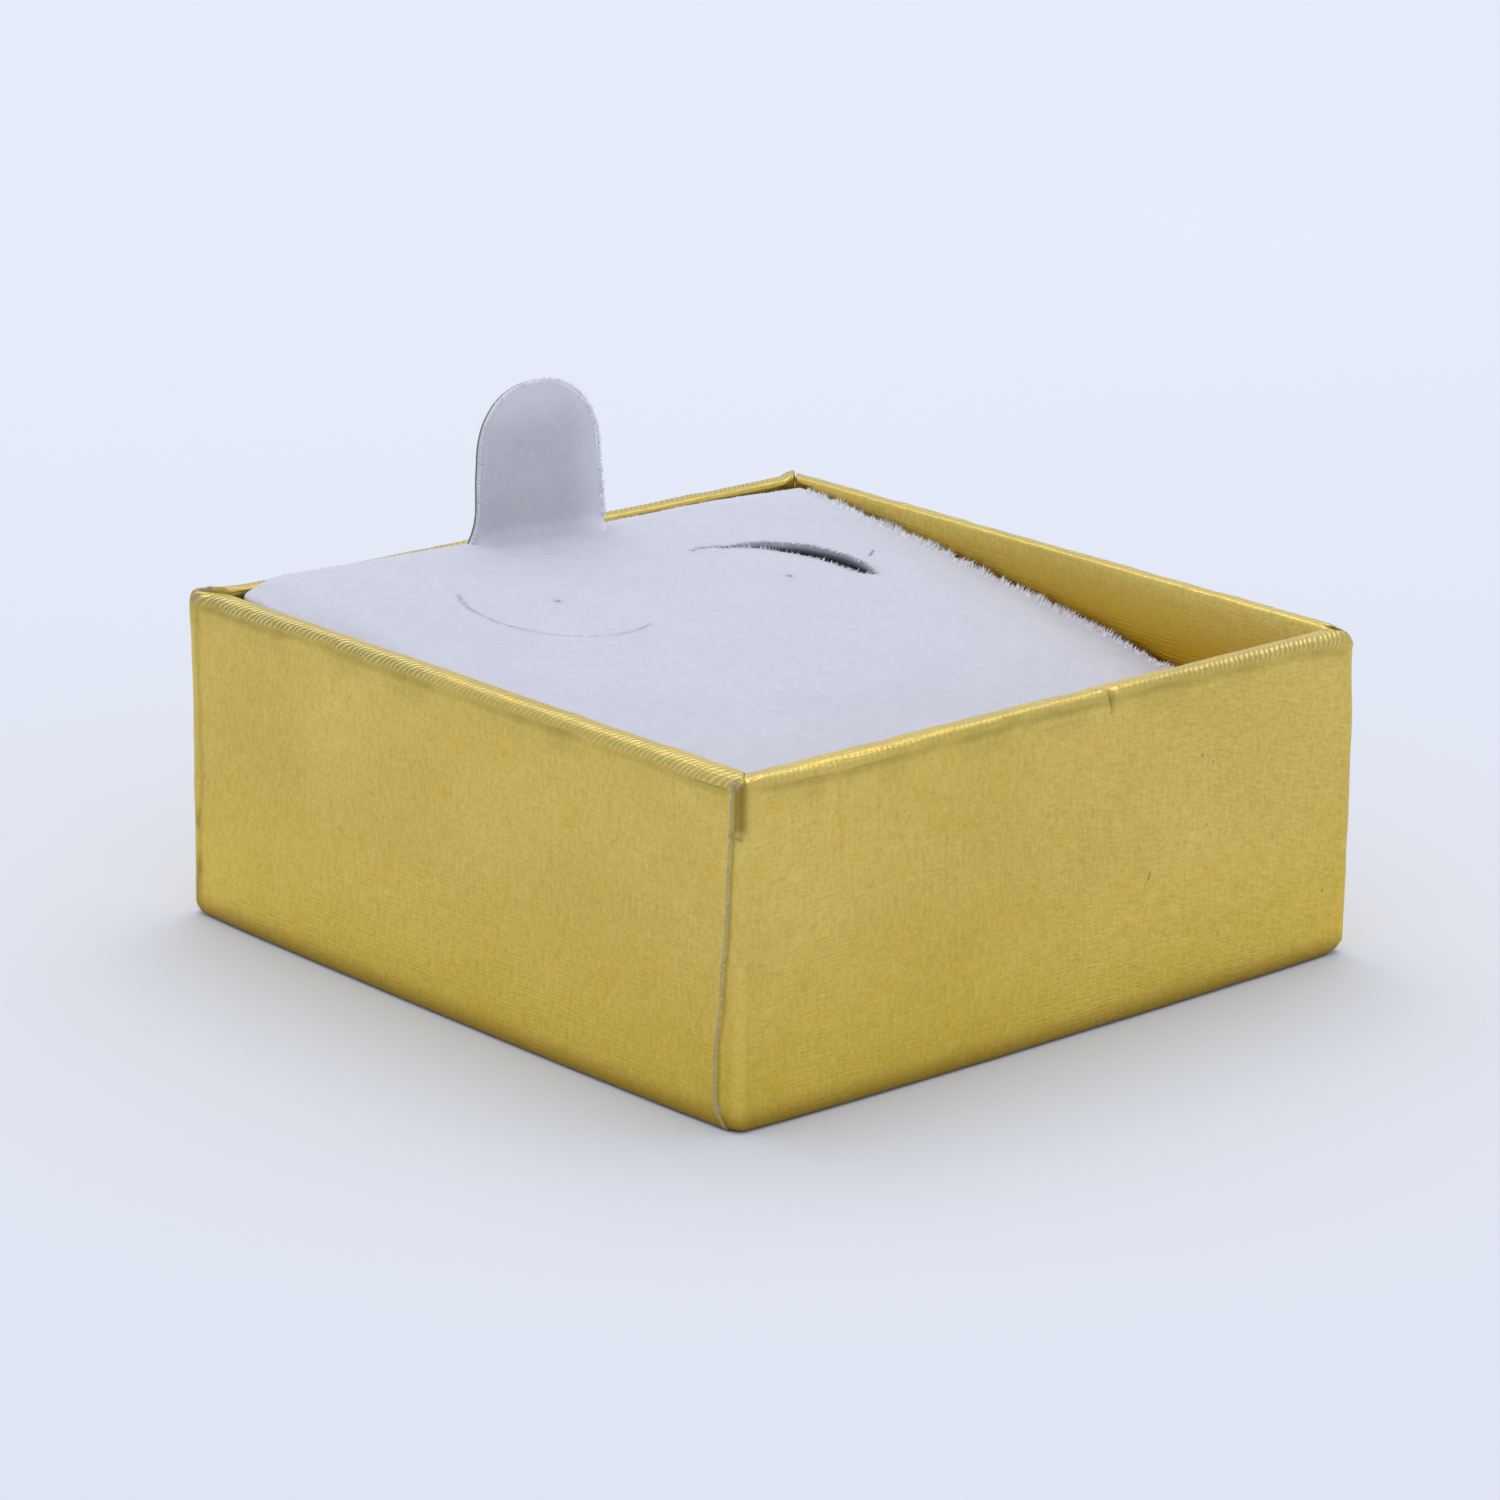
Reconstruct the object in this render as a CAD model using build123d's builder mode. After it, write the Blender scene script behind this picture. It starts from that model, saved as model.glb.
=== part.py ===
from build123d import *
import math
import os

# Small set-up gift box, tray half, with a loose velvet insert. Millimetres.
# Origin: centre of the underside. +Z up, +Y towards the side with the pull tab.

# ---- tray, driving sizes ----
WIDTH = 50.0            # outside, along X
DEPTH = 50.5            # outside, along Y
HEIGHT = 20.4           # underside to rim
WALL = 1.57             # greyboard with foil paper on both faces
PAPER = 0.15            # foil paper
CORNER_RADIUS = 0.8     # outside upright corners
BASE_RADIUS = 0.8       # outside edge of the base
RIM_RADIUS = 0.6        # both edges of the rim
TURN_IN = 15.0          # foil folded down inside the walls
STAY = 0.12             # kraft corner stay, pressed flush into the board
STAY_LEG = 9.0          # how far a stay reaches from its corner
STAY_MARGIN = 2.0       # bare board above and below a stay

# ---- insert, driving sizes ----
CARD_WIDTH = 46.3       # along X
CARD_LENGTH = 46.8      # front edge to rear edge
CARD = 0.6              # card with its velvet pile
CROWN = 1.0             # rise of the middle of the card above its front and rear edges
FOAM = 10.4             # foam under the edges of the card
FOAM_SETBACK = 1.2      # foam edge behind the card edge
FRONT_EDGE_Y = -23.4    # card's front edge, on which the insert tilts
FRONT_EDGE_Z = 13.4
TILT = 9.0              # degrees, rear edge raised
SIDE_SLOPE = -0.025     # rise per millimetre towards +X: the left side sits higher

# ---- curved cuts in the card ----
CUT_RADIUS = 6.2
CUT_DEPTH = 6.0         # below the card's face, into the foam
CUT_WIDTH = 0.3         # closed cut
OPEN_CUT_WIDTH = 0.4    # cut whose tongue is pressed down a little
LEFT_CUT = (-7.2, 12.2)     # centre on the card
RIGHT_CUT = (9.5, 9.4)
LEFT_CUT_START = 146        # degrees, counterclockwise from +X
LEFT_CUT_SWEEP = 150
RIGHT_CUT_START = -18
RIGHT_CUT_SWEEP = 134
PIN_HOLE_RADIUS = 0.35
NICK_CENTRE = (17.8, 10.7)
NICK_LENGTH = 1.8
NICK_WIDTH = 0.25
NICK_ANGLE = 38

# ---- pull tab ----
TAB_CENTRE = 0.2        # along X
TAB_SHEET = 0.5         # card with velvet on its front
TAB_INSET = 0.05        # back of the tab in front of the card's rear edge
TAB_GAP = 0.15          # the crease, between card and tab
TAB_RADIUS = 4.9        # round end
TAB_HEIGHT = 10.0
TAB_BASE_HALF = 5.3
TAB_FOOT_HALF = 5.9     # flared foot
TAB_FOOT_HEIGHT = 1.4

os.makedirs("parts", exist_ok=True)

# ---- values worked out from the sizes above ----
board = WALL - 2 * PAPER
board_width = WIDTH - 2 * PAPER
board_depth = DEPTH - 2 * PAPER
cavity_width = WIDTH - 2 * WALL
cavity_depth = DEPTH - 2 * WALL
board_cavity_width = cavity_width + 2 * PAPER
board_cavity_depth = cavity_depth + 2 * PAPER
floor_top = PAPER + board
board_radius = CORNER_RADIUS - PAPER
stay_height = HEIGHT - 2 * STAY_MARGIN


# ---- greyboard before the stays are pressed in: base and four walls ----
with BuildPart() as board_form:
    with BuildSketch(Plane.XY.offset(PAPER)):
        RectangleRounded(board_width, board_depth, board_radius)
    extrude(amount=HEIGHT - 2 * PAPER)
    fillet(board_form.faces().sort_by(Axis.Z)[0].edges(), BASE_RADIUS - PAPER)
    with BuildSketch(Plane.XY.offset(floor_top)):
        Rectangle(board_cavity_width, board_cavity_depth)
    extrude(amount=HEIGHT, mode=Mode.SUBTRACT)
    fillet(board_form.faces().sort_by(Axis.Z)[-1].edges(), RIM_RADIUS - PAPER)


# ---- four kraft corner stays, each an angle of paper round one upright corner ----
stays = {}
corners = {
    "front_left": (-1, -1),
    "front_right": (1, -1),
    "rear_left": (-1, 1),
    "rear_right": (1, 1),
}
for place, (x_side, y_side) in corners.items():
    with BuildPart() as stay:
        with BuildSketch(Plane.XY.offset(STAY_MARGIN)):
            RectangleRounded(board_width, board_depth, board_radius)
            RectangleRounded(
                board_width - 2 * STAY,
                board_depth - 2 * STAY,
                board_radius - STAY,
                mode=Mode.SUBTRACT,
            )
            with Locations((x_side * board_width / 2, y_side * board_depth / 2)):
                Rectangle(2 * STAY_LEG, 2 * STAY_LEG, mode=Mode.INTERSECT)
        extrude(amount=stay_height)
    stay.part.label = "corner_stay_" + place
    stays[place] = stay.part
    export_step(stay.part, "parts/corner_stay_" + place + ".step")


# ---- greyboard tray: the scored and folded blank ----
with BuildPart() as greyboard_tray:
    add(board_form.part)
    for stay_part in stays.values():
        add(stay_part, mode=Mode.SUBTRACT)
greyboard_tray.part.label = "greyboard_tray"
export_step(greyboard_tray.part, "parts/greyboard_tray.step")


# ---- foil wrap: one sheet under the base, up the sides, over the rim and down inside ----
with BuildPart() as foil_wrap:
    with BuildSketch(Plane.XY):
        RectangleRounded(WIDTH, DEPTH, CORNER_RADIUS)
    extrude(amount=HEIGHT)
    fillet(foil_wrap.faces().sort_by(Axis.Z)[0].edges(), BASE_RADIUS)
    with BuildSketch(Plane.XY.offset(floor_top)):
        Rectangle(cavity_width, cavity_depth)
    extrude(amount=HEIGHT, mode=Mode.SUBTRACT)
    fillet(foil_wrap.faces().sort_by(Axis.Z)[-1].edges(), RIM_RADIUS)
    add(board_form.part, mode=Mode.SUBTRACT)
    # below the turn-in the inner face of the walls is bare board
    with BuildSketch(Plane.XY.offset(floor_top)):
        Rectangle(board_cavity_width, board_cavity_depth)
    extrude(amount=HEIGHT - TURN_IN - floor_top, mode=Mode.SUBTRACT)
foil_wrap.part.label = "foil_wrap"
export_step(foil_wrap.part, "parts/foil_wrap.step")


# ---- planes of the insert ----
# card_plane: origin on the chord between the card's front and rear edges, halfway,
# x to the right, y up the slope to the rear edge, z out of the velvet.
pitch = math.tan(math.radians(TILT))
half_run = CARD_LENGTH / 2 * math.cos(math.radians(TILT))
half_rise = CARD_LENGTH / 2 * math.sin(math.radians(TILT))
card_centre = Vector(0, FRONT_EDGE_Y + half_run, FRONT_EDGE_Z + half_rise)
card_plane = Plane(
    origin=card_centre,
    x_dir=(1, 0, SIDE_SLOPE),
    z_dir=(-SIDE_SLOPE, -pitch, 1),
)
# profile_plane: x up the slope, y out of the velvet, for sections drawn out along the width
profile_plane = Plane(origin=card_centre, x_dir=card_plane.y_dir, z_dir=card_plane.x_dir)

half_length = CARD_LENGTH / 2
bend_radius = (half_length**2 + CROWN**2) / (2 * CROWN)


def crown_height(distance):
    """Height of the card's face above its chord, at a distance from the middle."""
    return CROWN - bend_radius + math.sqrt(bend_radius**2 - distance**2)


# ---- the cuts as solids, taken out of both card and foam ----
cut_top = card_plane.offset(CROWN + 1)
curved_cuts = (
    (LEFT_CUT, CUT_WIDTH, LEFT_CUT_START, LEFT_CUT_SWEEP),
    (RIGHT_CUT, OPEN_CUT_WIDTH, RIGHT_CUT_START, RIGHT_CUT_SWEEP),
)
with BuildPart() as cuts:
    for centre, width, start, sweep in curved_cuts:
        with BuildSketch(cut_top):
            with BuildLine():
                inner_arc = CenterArc(centre, CUT_RADIUS - width / 2, start, sweep)
                outer_arc = CenterArc(centre, CUT_RADIUS + width / 2, start, sweep)
                Line(inner_arc @ 0, outer_arc @ 0)
                Line(inner_arc @ 1, outer_arc @ 1)
            make_face()
        extrude(amount=-(CUT_DEPTH + 1))
    with BuildSketch(cut_top):
        with Locations(LEFT_CUT, RIGHT_CUT):
            Circle(PIN_HOLE_RADIUS)
    extrude(amount=-(CUT_DEPTH + 1))


# ---- velvet card: a thin sheet, bent a little so that its middle stands higher ----
with BuildPart() as velvet_card:
    with BuildSketch(profile_plane):
        with BuildLine():
            face_arc = ThreePointArc((-half_length, 0), (0, CROWN), (half_length, 0))
            back_arc = ThreePointArc((-half_length, -CARD), (0, CROWN - CARD), (half_length, -CARD))
            Line(face_arc @ 0, back_arc @ 0)
            Line(face_arc @ 1, back_arc @ 1)
        make_face()
    extrude(amount=CARD_WIDTH / 2, both=True)
    add(cuts.part, mode=Mode.SUBTRACT)
    with BuildSketch(cut_top):
        with Locations(Location(NICK_CENTRE, NICK_ANGLE)):
            SlotOverall(NICK_LENGTH, NICK_WIDTH)
    extrude(amount=-(CROWN + 1 + CARD), mode=Mode.SUBTRACT)
velvet_card.part.label = "velvet_card"
export_step(velvet_card.part, "parts/velvet_card.step")


# ---- foam block: glued to the back of the card, its underside flat ----
foam_half = half_length - FOAM_SETBACK
foam_edge = crown_height(foam_half) - CARD
foam_floor = -CARD - FOAM
with BuildPart() as foam_block:
    with BuildSketch(profile_plane):
        with BuildLine():
            foam_arc = ThreePointArc((-foam_half, foam_edge), (0, CROWN - CARD), (foam_half, foam_edge))
            Polyline(foam_arc @ 0, (-foam_half, foam_floor), (foam_half, foam_floor), foam_arc @ 1)
        make_face()
    extrude(amount=CARD_WIDTH / 2 - FOAM_SETBACK, both=True)
    add(cuts.part, mode=Mode.SUBTRACT)
foam_block.part.label = "foam_block"
export_step(foam_block.part, "parts/foam_block.step")


# ---- pull tab: the card's tongue, creased at its foot and bent up ----
crease_along = half_length - TAB_INSET - TAB_SHEET
crease_point = profile_plane.from_local_coords((crease_along, crown_height(crease_along) + TAB_GAP))
tab_plane = Plane(origin=crease_point, x_dir=card_plane.x_dir, z_dir=(0, -1, 0))
tab_side_height = TAB_HEIGHT - TAB_RADIUS
with BuildPart() as pull_tab:
    with BuildSketch(tab_plane):
        with BuildLine():
            right_foot = (TAB_CENTRE + TAB_FOOT_HALF, 0)
            right_base = (TAB_CENTRE + TAB_BASE_HALF, TAB_FOOT_HEIGHT)
            right_side = (TAB_CENTRE + TAB_RADIUS, tab_side_height)
            tip = (TAB_CENTRE, TAB_HEIGHT)
            left_side = (TAB_CENTRE - TAB_RADIUS, tab_side_height)
            left_base = (TAB_CENTRE - TAB_BASE_HALF, TAB_FOOT_HEIGHT)
            left_foot = (TAB_CENTRE - TAB_FOOT_HALF, 0)
            Polyline(left_side, left_base, left_foot, right_foot, right_base, right_side)
            ThreePointArc(right_side, tip, left_side)
        make_face()
    extrude(amount=-TAB_SHEET)
pull_tab.part.label = "pull_tab"
export_step(pull_tab.part, "parts/pull_tab.step")

print("tilt axis through", (0, FRONT_EDGE_Y, FRONT_EDGE_Z), "along", card_plane.x_dir)
print("crease axis through", crease_point, "along", card_plane.x_dir)
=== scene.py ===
"""Looks of a small gold foil gift box tray with a white velvet insert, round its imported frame.

Sizes are in millimetres up to the making of a mesh, which turns them into metres.
+Z is up, +Y towards the side with the pull tab.
"""

import math

import bmesh
import bpy
import numpy as np
from mathutils import Matrix, Vector


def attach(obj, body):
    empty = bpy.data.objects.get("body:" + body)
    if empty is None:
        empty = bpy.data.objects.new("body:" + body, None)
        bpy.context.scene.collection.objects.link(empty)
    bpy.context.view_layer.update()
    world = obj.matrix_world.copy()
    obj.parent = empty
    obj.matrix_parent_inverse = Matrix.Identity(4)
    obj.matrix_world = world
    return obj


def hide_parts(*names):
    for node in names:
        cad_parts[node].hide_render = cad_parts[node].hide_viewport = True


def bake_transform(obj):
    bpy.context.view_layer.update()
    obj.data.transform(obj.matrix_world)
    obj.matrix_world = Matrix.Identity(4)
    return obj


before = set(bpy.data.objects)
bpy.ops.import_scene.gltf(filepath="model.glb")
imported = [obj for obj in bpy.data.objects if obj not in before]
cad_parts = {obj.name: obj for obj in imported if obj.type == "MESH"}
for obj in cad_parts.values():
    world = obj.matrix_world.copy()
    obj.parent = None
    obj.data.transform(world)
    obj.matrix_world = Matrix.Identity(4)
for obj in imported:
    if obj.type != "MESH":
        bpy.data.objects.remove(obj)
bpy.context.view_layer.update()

MM = 0.001

# ---- tray sizes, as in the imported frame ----
WIDTH, DEPTH, HEIGHT = 50.0, 50.5, 20.4
WALL = 1.57
PAPER = 0.15
CORNER_RADIUS = 0.8
RIM_RADIUS = 0.6
FOOT_RADIUS = 0.32          # the foil is drawn tight round the base, inside its packed edge
INNER_RIM_RADIUS = 0.32     # the foil is drawn tight over the board's inner edge
TURN_IN_END = 5.4           # height at which the folded-in foil stops
FLOOR_TOP = 1.42
FOIL = 0.08                 # sheet of foil paper
INNER_CORNER = 0.2          # radius of the foil in the inner corners
STAY = 0.12
STAY_REACH = 8.6
STAY_LOW, STAY_HIGH = 2.0, 18.4

# ---- insert sizes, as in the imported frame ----
CARD_WIDTH, CARD_LENGTH, CARD = 46.3, 46.8, 0.6
CROWN = 1.0
FOAM, FOAM_SETBACK = 10.4, 1.2
FRONT_EDGE_Y, FRONT_EDGE_Z = -23.4, 13.4
TILT = 9.0
SIDE_SLOPE = -0.025
CUT_RADIUS = 6.2
LEFT_CUT, RIGHT_CUT = (-7.2, 12.2), (9.5, 9.4)

rng = np.random.default_rng(7)


# ======== small tools ========
def smooth(x, low, high):
    """0 below low, 1 above high, and a smooth step between."""
    t = np.clip((x - low) / (high - low), 0, 1)
    return t * t * (3 - 2 * t)


def hump(x, centre, width):
    return np.exp(-(((x - centre) / width) ** 2))


def waves(count, shortest, longest):
    """A smooth random field of a place, about one high, with that range of wavelengths."""
    length = np.exp(rng.uniform(math.log(shortest), math.log(longest), count))
    way = rng.normal(size=(count, 3))
    way *= (2 * math.pi / length / np.linalg.norm(way, axis=1))[:, None]
    phase = rng.uniform(0, 2 * math.pi, count)

    def field(place):
        total = np.zeros(len(place))
        for k in range(count):
            total += np.sin(place @ way[k] + phase[k])
        return total / math.sqrt(count / 2)

    return field


def grid_faces(rows, columns, closed=False):
    """Quads of a grid of points, row by row; closed joins its last column to its first."""
    i = np.arange(rows - 1)[:, None]
    j = np.arange(columns if closed else columns - 1)[None, :]
    k = (j + 1) % columns
    return np.stack(
        [i * columns + j, i * columns + k, (i + 1) * columns + k, (i + 1) * columns + j], axis=-1
    ).reshape(-1, 4)


def make_mesh(name, points, faces, materials, smooth_shading=True):
    """A mesh piece from points in millimetres."""
    mesh = bpy.data.meshes.new(name)
    mesh.from_pydata((np.asarray(points, float) * MM).tolist(), [], faces)
    mesh.update()
    piece = bpy.data.objects.new(name, mesh)
    bpy.context.scene.collection.objects.link(piece)
    for material in materials:
        mesh.materials.append(material)
    mesh.polygons.foreach_set("use_smooth", [smooth_shading] * len(mesh.polygons))
    return piece


def mark(piece, name, values):
    """A number at each point, which a material reads by name."""
    layer = piece.data.attributes.new(name, "FLOAT", "POINT")
    layer.data.foreach_set("value", np.asarray(values, np.float32).ravel())


# ======== materials ========
class Shader:
    """A material of nodes, built a node at a time."""

    def __init__(self, name):
        self.material = bpy.data.materials.new(name)
        self.material.use_nodes = True
        self.tree = self.material.node_tree
        self.base = self.tree.nodes["Principled BSDF"]

    def put(self, socket, value):
        if isinstance(value, bpy.types.NodeSocket):
            self.tree.links.new(value, socket)
        elif isinstance(value, tuple) and len(value) == 3 and socket.type == "RGBA":
            socket.default_value = (*value, 1)
        else:
            socket.default_value = value

    def node(self, kind, inputs=(), **settings):
        made = self.tree.nodes.new("ShaderNode" + kind)
        for key, value in settings.items():
            setattr(made, key, value)
        for key, value in dict(inputs).items():
            self.put(made.inputs[key], value)
        return made

    def math(self, operation, a, b=0.0, c=0.0, clamp=False):
        return self.node("Math", {0: a, 1: b, 2: c}, operation=operation, use_clamp=clamp).outputs[0]

    def noise(self, vector, scale, detail=3.0, roughness=0.55, distortion=0.0):
        return self.node(
            "TexNoise",
            {"Vector": vector, "Scale": scale, "Detail": detail,
             "Roughness": roughness, "Distortion": distortion},
        ).outputs["Fac"]

    def spread(self, value, low, high, new_low=0.0, new_high=1.0):
        return self.node(
            "MapRange",
            {"Value": value, "From Min": low, "From Max": high,
             "To Min": new_low, "To Max": new_high},
        ).outputs[0]

    def mix(self, share, a, b):
        made = self.tree.nodes.new("ShaderNodeMix")
        made.data_type = "RGBA"
        self.put(made.inputs[0], share)
        self.put(made.inputs[6], a)
        self.put(made.inputs[7], b)
        return made.outputs[2]

    def bump(self, height, strength, distance, normal=None):
        inputs = {"Height": height, "Strength": strength, "Distance": distance}
        if normal is not None:
            inputs["Normal"] = normal
        return self.node("Bump", inputs).outputs[0]

    def attribute(self, name):
        return self.node("Attribute", attribute_name=name).outputs["Fac"]

    def place(self):
        return self.node("TexCoord").outputs["Object"]

    def scaled(self, vector, x, y, z):
        return self.node(
            "VectorMath", {0: vector, 1: (x, y, z)}, operation="MULTIPLY"
        ).outputs[0]

    def finish(self, **inputs):
        for key, value in inputs.items():
            self.put(self.base.inputs[key.replace("_", " ")], value)
        return self.material


def gold_foil():
    """Gold foil paper with a soft linen emboss: threads across and along the sheet, in millimetres."""
    s = Shader("gold_linen_foil")
    sheet = s.node("UVMap", uv_map="sheet").outputs[0]
    place = s.place()
    along, up, _ = (s.node("SeparateXYZ", {0: sheet}).outputs[k] for k in range(3))
    z_place = s.node("SeparateXYZ", {0: place}).outputs[2]
    raw, stain_and_shade, wear_and_highlight = s.attribute("raw"), s.attribute("stain_and_shade"), s.attribute("wear_and_highlight")
    shade, rim, inside = s.attribute("shade"), s.attribute("rim"), s.attribute("inside")
    # upright threads, which change along the sheet, and level threads, which change up it
    sway_up = s.noise(s.scaled(sheet, 1.3, 0.22, 1), 1.0, 3.0)
    sway_level = s.noise(s.scaled(sheet, 0.22, 1.3, 1), 1.0, 3.0)
    upright = s.math("SINE", s.math("MULTIPLY_ADD", along, 2 * math.pi / THREAD_ALONG,
                                    s.math("MULTIPLY", sway_up, 20.0)))
    level = s.math("SINE", s.math("MULTIPLY_ADD", up, 2 * math.pi / THREAD_UP,
                                  s.math("MULTIPLY", sway_level, 20.0)))
    slub_up = s.spread(s.noise(s.scaled(sheet, 2.6, 0.9, 1), 1.0, 3.0, 0.6), 0.42, 0.66)
    slub_level = s.spread(s.noise(s.scaled(sheet, 0.8, 3.2, 1), 1.0, 3.0, 0.6), 0.40, 0.62)
    threads = s.math("ADD", s.math("MULTIPLY", upright, s.math("MULTIPLY", slub_up, 0.6)),
                     s.math("MULTIPLY", level, slub_level))
    patches = s.noise(place, 260.0, 3.0, 0.6)
    clouds = s.noise(place, 75.0, 2.0, 0.5)
    mottle = s.noise(place, 950.0, 3.0, 0.6)
    orange = s.noise(s.scaled(place, 1, 1, 0.8), 620.0, 3.0, 0.65)
    grain = s.noise(place, 4300.0, 3.0, 0.65)
    # the emboss shows most on the right part of the front wall, and on the rim
    shown = s.spread(clouds, 0.35, 0.65, 0.45, 1.0)
    relief = s.math("MULTIPLY", threads, shown)
    gentle = s.noise(s.scaled(sheet, 0.55, 0.3, 1), 1.0, 2.0)
    stroke = s.math("SINE", s.math("MULTIPLY_ADD", along, 2 * math.pi / THREAD_ALONG,
                                   s.math("MULTIPLY_ADD", gentle, 9.0, s.math("MULTIPLY", up, -11.5))))
    strokes = s.math("MULTIPLY", stroke, rim)
    # a fine speckle with an upright grain, and slanting threads towards the right of the front wall
    upright_grain = s.noise(s.scaled(place, 1, 1, 0.30), 3600.0, 3.0, 0.6)
    speckle = s.noise(place, 3300.0, 3.0, 0.6)
    turned = s.node("VectorRotate", {"Vector": sheet, "Angle": THREAD_SLANT}, rotation_type="Z_AXIS")
    slanting = s.noise(s.scaled(turned.outputs[0], 0.8, 5.4, 1), 1.0, 3.0, 0.6)
    to_right = s.math("MULTIPLY", s.spread(along, 10.0, 34.0),
                      s.spread(along, FRONT_SHEET, FRONT_SHEET + 0.8, 1.0, 0.0))
    fibre = s.math("MULTIPLY_ADD", upright_grain, 0.42, s.math("MULTIPLY", speckle, 0.58))
    linen = s.bump(s.math("MULTIPLY_ADD", strokes, 2.4, relief), 0.42, 0.000022)
    crumple = s.bump(s.math("MULTIPLY_ADD", patches, 0.6, s.math("MULTIPLY", grain, 0.07)),
                     0.35, 0.00012, linen)
    ragged = s.spread(s.noise(place, 5200.0, 3.0, 0.65), 0.25, 0.75, -0.30, 0.30)
    bare = s.spread(s.math("ADD", raw, s.math("MULTIPLY", ragged, s.spread(raw, 0.0, 0.2))),
                    0.25, 0.80)
    stained_and_shaded = s.spread(s.math("ADD", stain_and_shade, s.math("MULTIPLY", ragged, s.spread(stain_and_shade, 0.0, 0.2))),
                     0.25, 0.95)
    gold = s.mix(s.spread(clouds, 0.3, 0.7), GOLD_DEEP, GOLD_LIGHT)
    gold = s.mix(s.spread(mottle, 0.35, 0.65, 0.0, 0.42), gold, GOLD_GREEN)
    gold = s.mix(s.spread(orange, 0.54, 0.74, 0.0, 0.62), gold, GOLD_ORANGE)
    gold = s.mix(s.spread(grain, 0.56, 0.75, 0.0, 0.28), gold, GOLD_PALE_WEAR_AND_HIGHLIGHT)
    # painted shade in the emboss valleys; the same dark colour also darkens the slanting threads and the
    # fine grain below
    gold = s.mix(s.spread(relief, 0.15, -1.1, 0.0, 0.15), gold, GOLD_DARK_GRAIN_AND_SHADE)
    # painted warm reflection of the floor, low on the walls
    gold = s.mix(s.spread(z_place, 0.0105, 0.001, 0.0, 0.55), gold, GOLD_LOW_PAINTED_REFLECTION)
    gold = s.mix(s.math("MULTIPLY", to_right, s.spread(slanting, 0.50, 0.36, 0.0, 0.15)), gold, GOLD_DARK_GRAIN_AND_SHADE)
    gold = s.mix(s.math("MULTIPLY", to_right, s.spread(slanting, 0.50, 0.64, 0.0, 0.15)), gold, GOLD_PALE_WEAR_AND_HIGHLIGHT)
    gold = s.mix(s.spread(fibre, 0.51, 0.34, 0.0, 0.26), gold, GOLD_DARK_GRAIN_AND_SHADE)
    gold = s.mix(s.spread(fibre, 0.51, 0.68, 0.0, 0.26), gold, GOLD_PALE_WEAR_AND_HIGHLIGHT)
    # paler where marked: wear, and painted highlight on the rim, the upright corners, the base facet and
    # the back corner's notch
    gold = s.mix(s.math("MULTIPLY", wear_and_highlight, 0.2), gold, GOLD_PALE_WEAR_AND_HIGHLIGHT)
    # painted shade: the rim bead is darkened against the light its top takes from above
    gold = s.mix(s.math("MULTIPLY", rim, 0.75), gold, GOLD_RIM_PAINTED_SHADE)
    # painted shade and warm gold-on-gold reflection on the inner walls, deeper further down
    gold = s.mix(s.math("MULTIPLY", inside, s.spread(up, SHEET_INSIDE, SHEET_INSIDE + 4.0, 0.12, 0.92)),
                 gold, GOLD_INSIDE_PAINTED_SHADE)
    # painted glints: pale strokes over the rim, unevenly bright, with painted shade between them
    lit = s.spread(strokes, 0.0, 0.9)
    glint = s.spread(s.noise(s.scaled(sheet, 1.4, 2.6, 1), 1.0, 3.0, 0.6), 0.36, 0.62, 0.20, 0.85)
    gold = s.mix(s.math("MULTIPLY", lit, glint), gold, GOLD_GLINT)
    gold = s.mix(s.math("MULTIPLY", s.spread(strokes, 0.0, -0.9), 0.50), gold, GOLD_OLIVE_PAINTED_SHADE)
    # painted shade in the creases, the dent, the seams, the mitres and the rim's corners
    gold = s.mix(s.math("MULTIPLY", shade, s.spread(mottle, 0.2, 0.8, 0.75, 1.0), clamp=True),
                 gold, GOLD_OLIVE_PAINTED_SHADE)
    # painted brown shade at the foot of the walls, down the front corner's pucker and in the right
    # corner's hole
    gold = s.mix(s.attribute("foot"), gold, GOLD_PAINTED_BROWN_SHADE)
    paper = s.mix(s.spread(grain, 0.3, 0.7), PAPER_CORE_DARK, PAPER_CORE_LIGHT)
    glue_and_shade = s.mix(s.spread(patches, 0.3, 0.7), GLUE_AND_SHADE_DARK, GLUE_AND_SHADE_LIGHT)
    colour = s.mix(bare, gold, paper)
    # scuffs on the walls, where the foil has been rubbed off
    scuffed = None
    for centre, half_length, slope in SCUFFS:
        offset = s.node("VectorMath", {0: place, 1: tuple(c * MM for c in centre)},
                        operation="SUBTRACT").outputs[0]
        x, y, z = (s.node("SeparateXYZ", {0: offset}).outputs[k] for k in range(3))
        across = s.math("SUBTRACT", x, s.math("MULTIPLY", z, slope))
        run = s.math("DIVIDE", z, half_length * MM)
        side = s.math("DIVIDE", across, SCUFF_HALF_WIDTH * MM)
        depth = s.math("DIVIDE", y, 1.0 * MM)
        total = s.math("ADD", s.math("POWER", s.math("ABSOLUTE", run), 2.0),
                       s.math("POWER", s.math("ABSOLUTE", side), 2.0))
        total = s.math("ADD", total, s.math("POWER", s.math("ABSOLUTE", depth), 2.0))
        spot = s.spread(total, 1.0, 0.2)
        scuffed = spot if scuffed is None else s.math("MAXIMUM", scuffed, spot)
    colour = s.mix(s.math("MULTIPLY", scuffed, 0.75), colour, SCUFF_BROWN)
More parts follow.
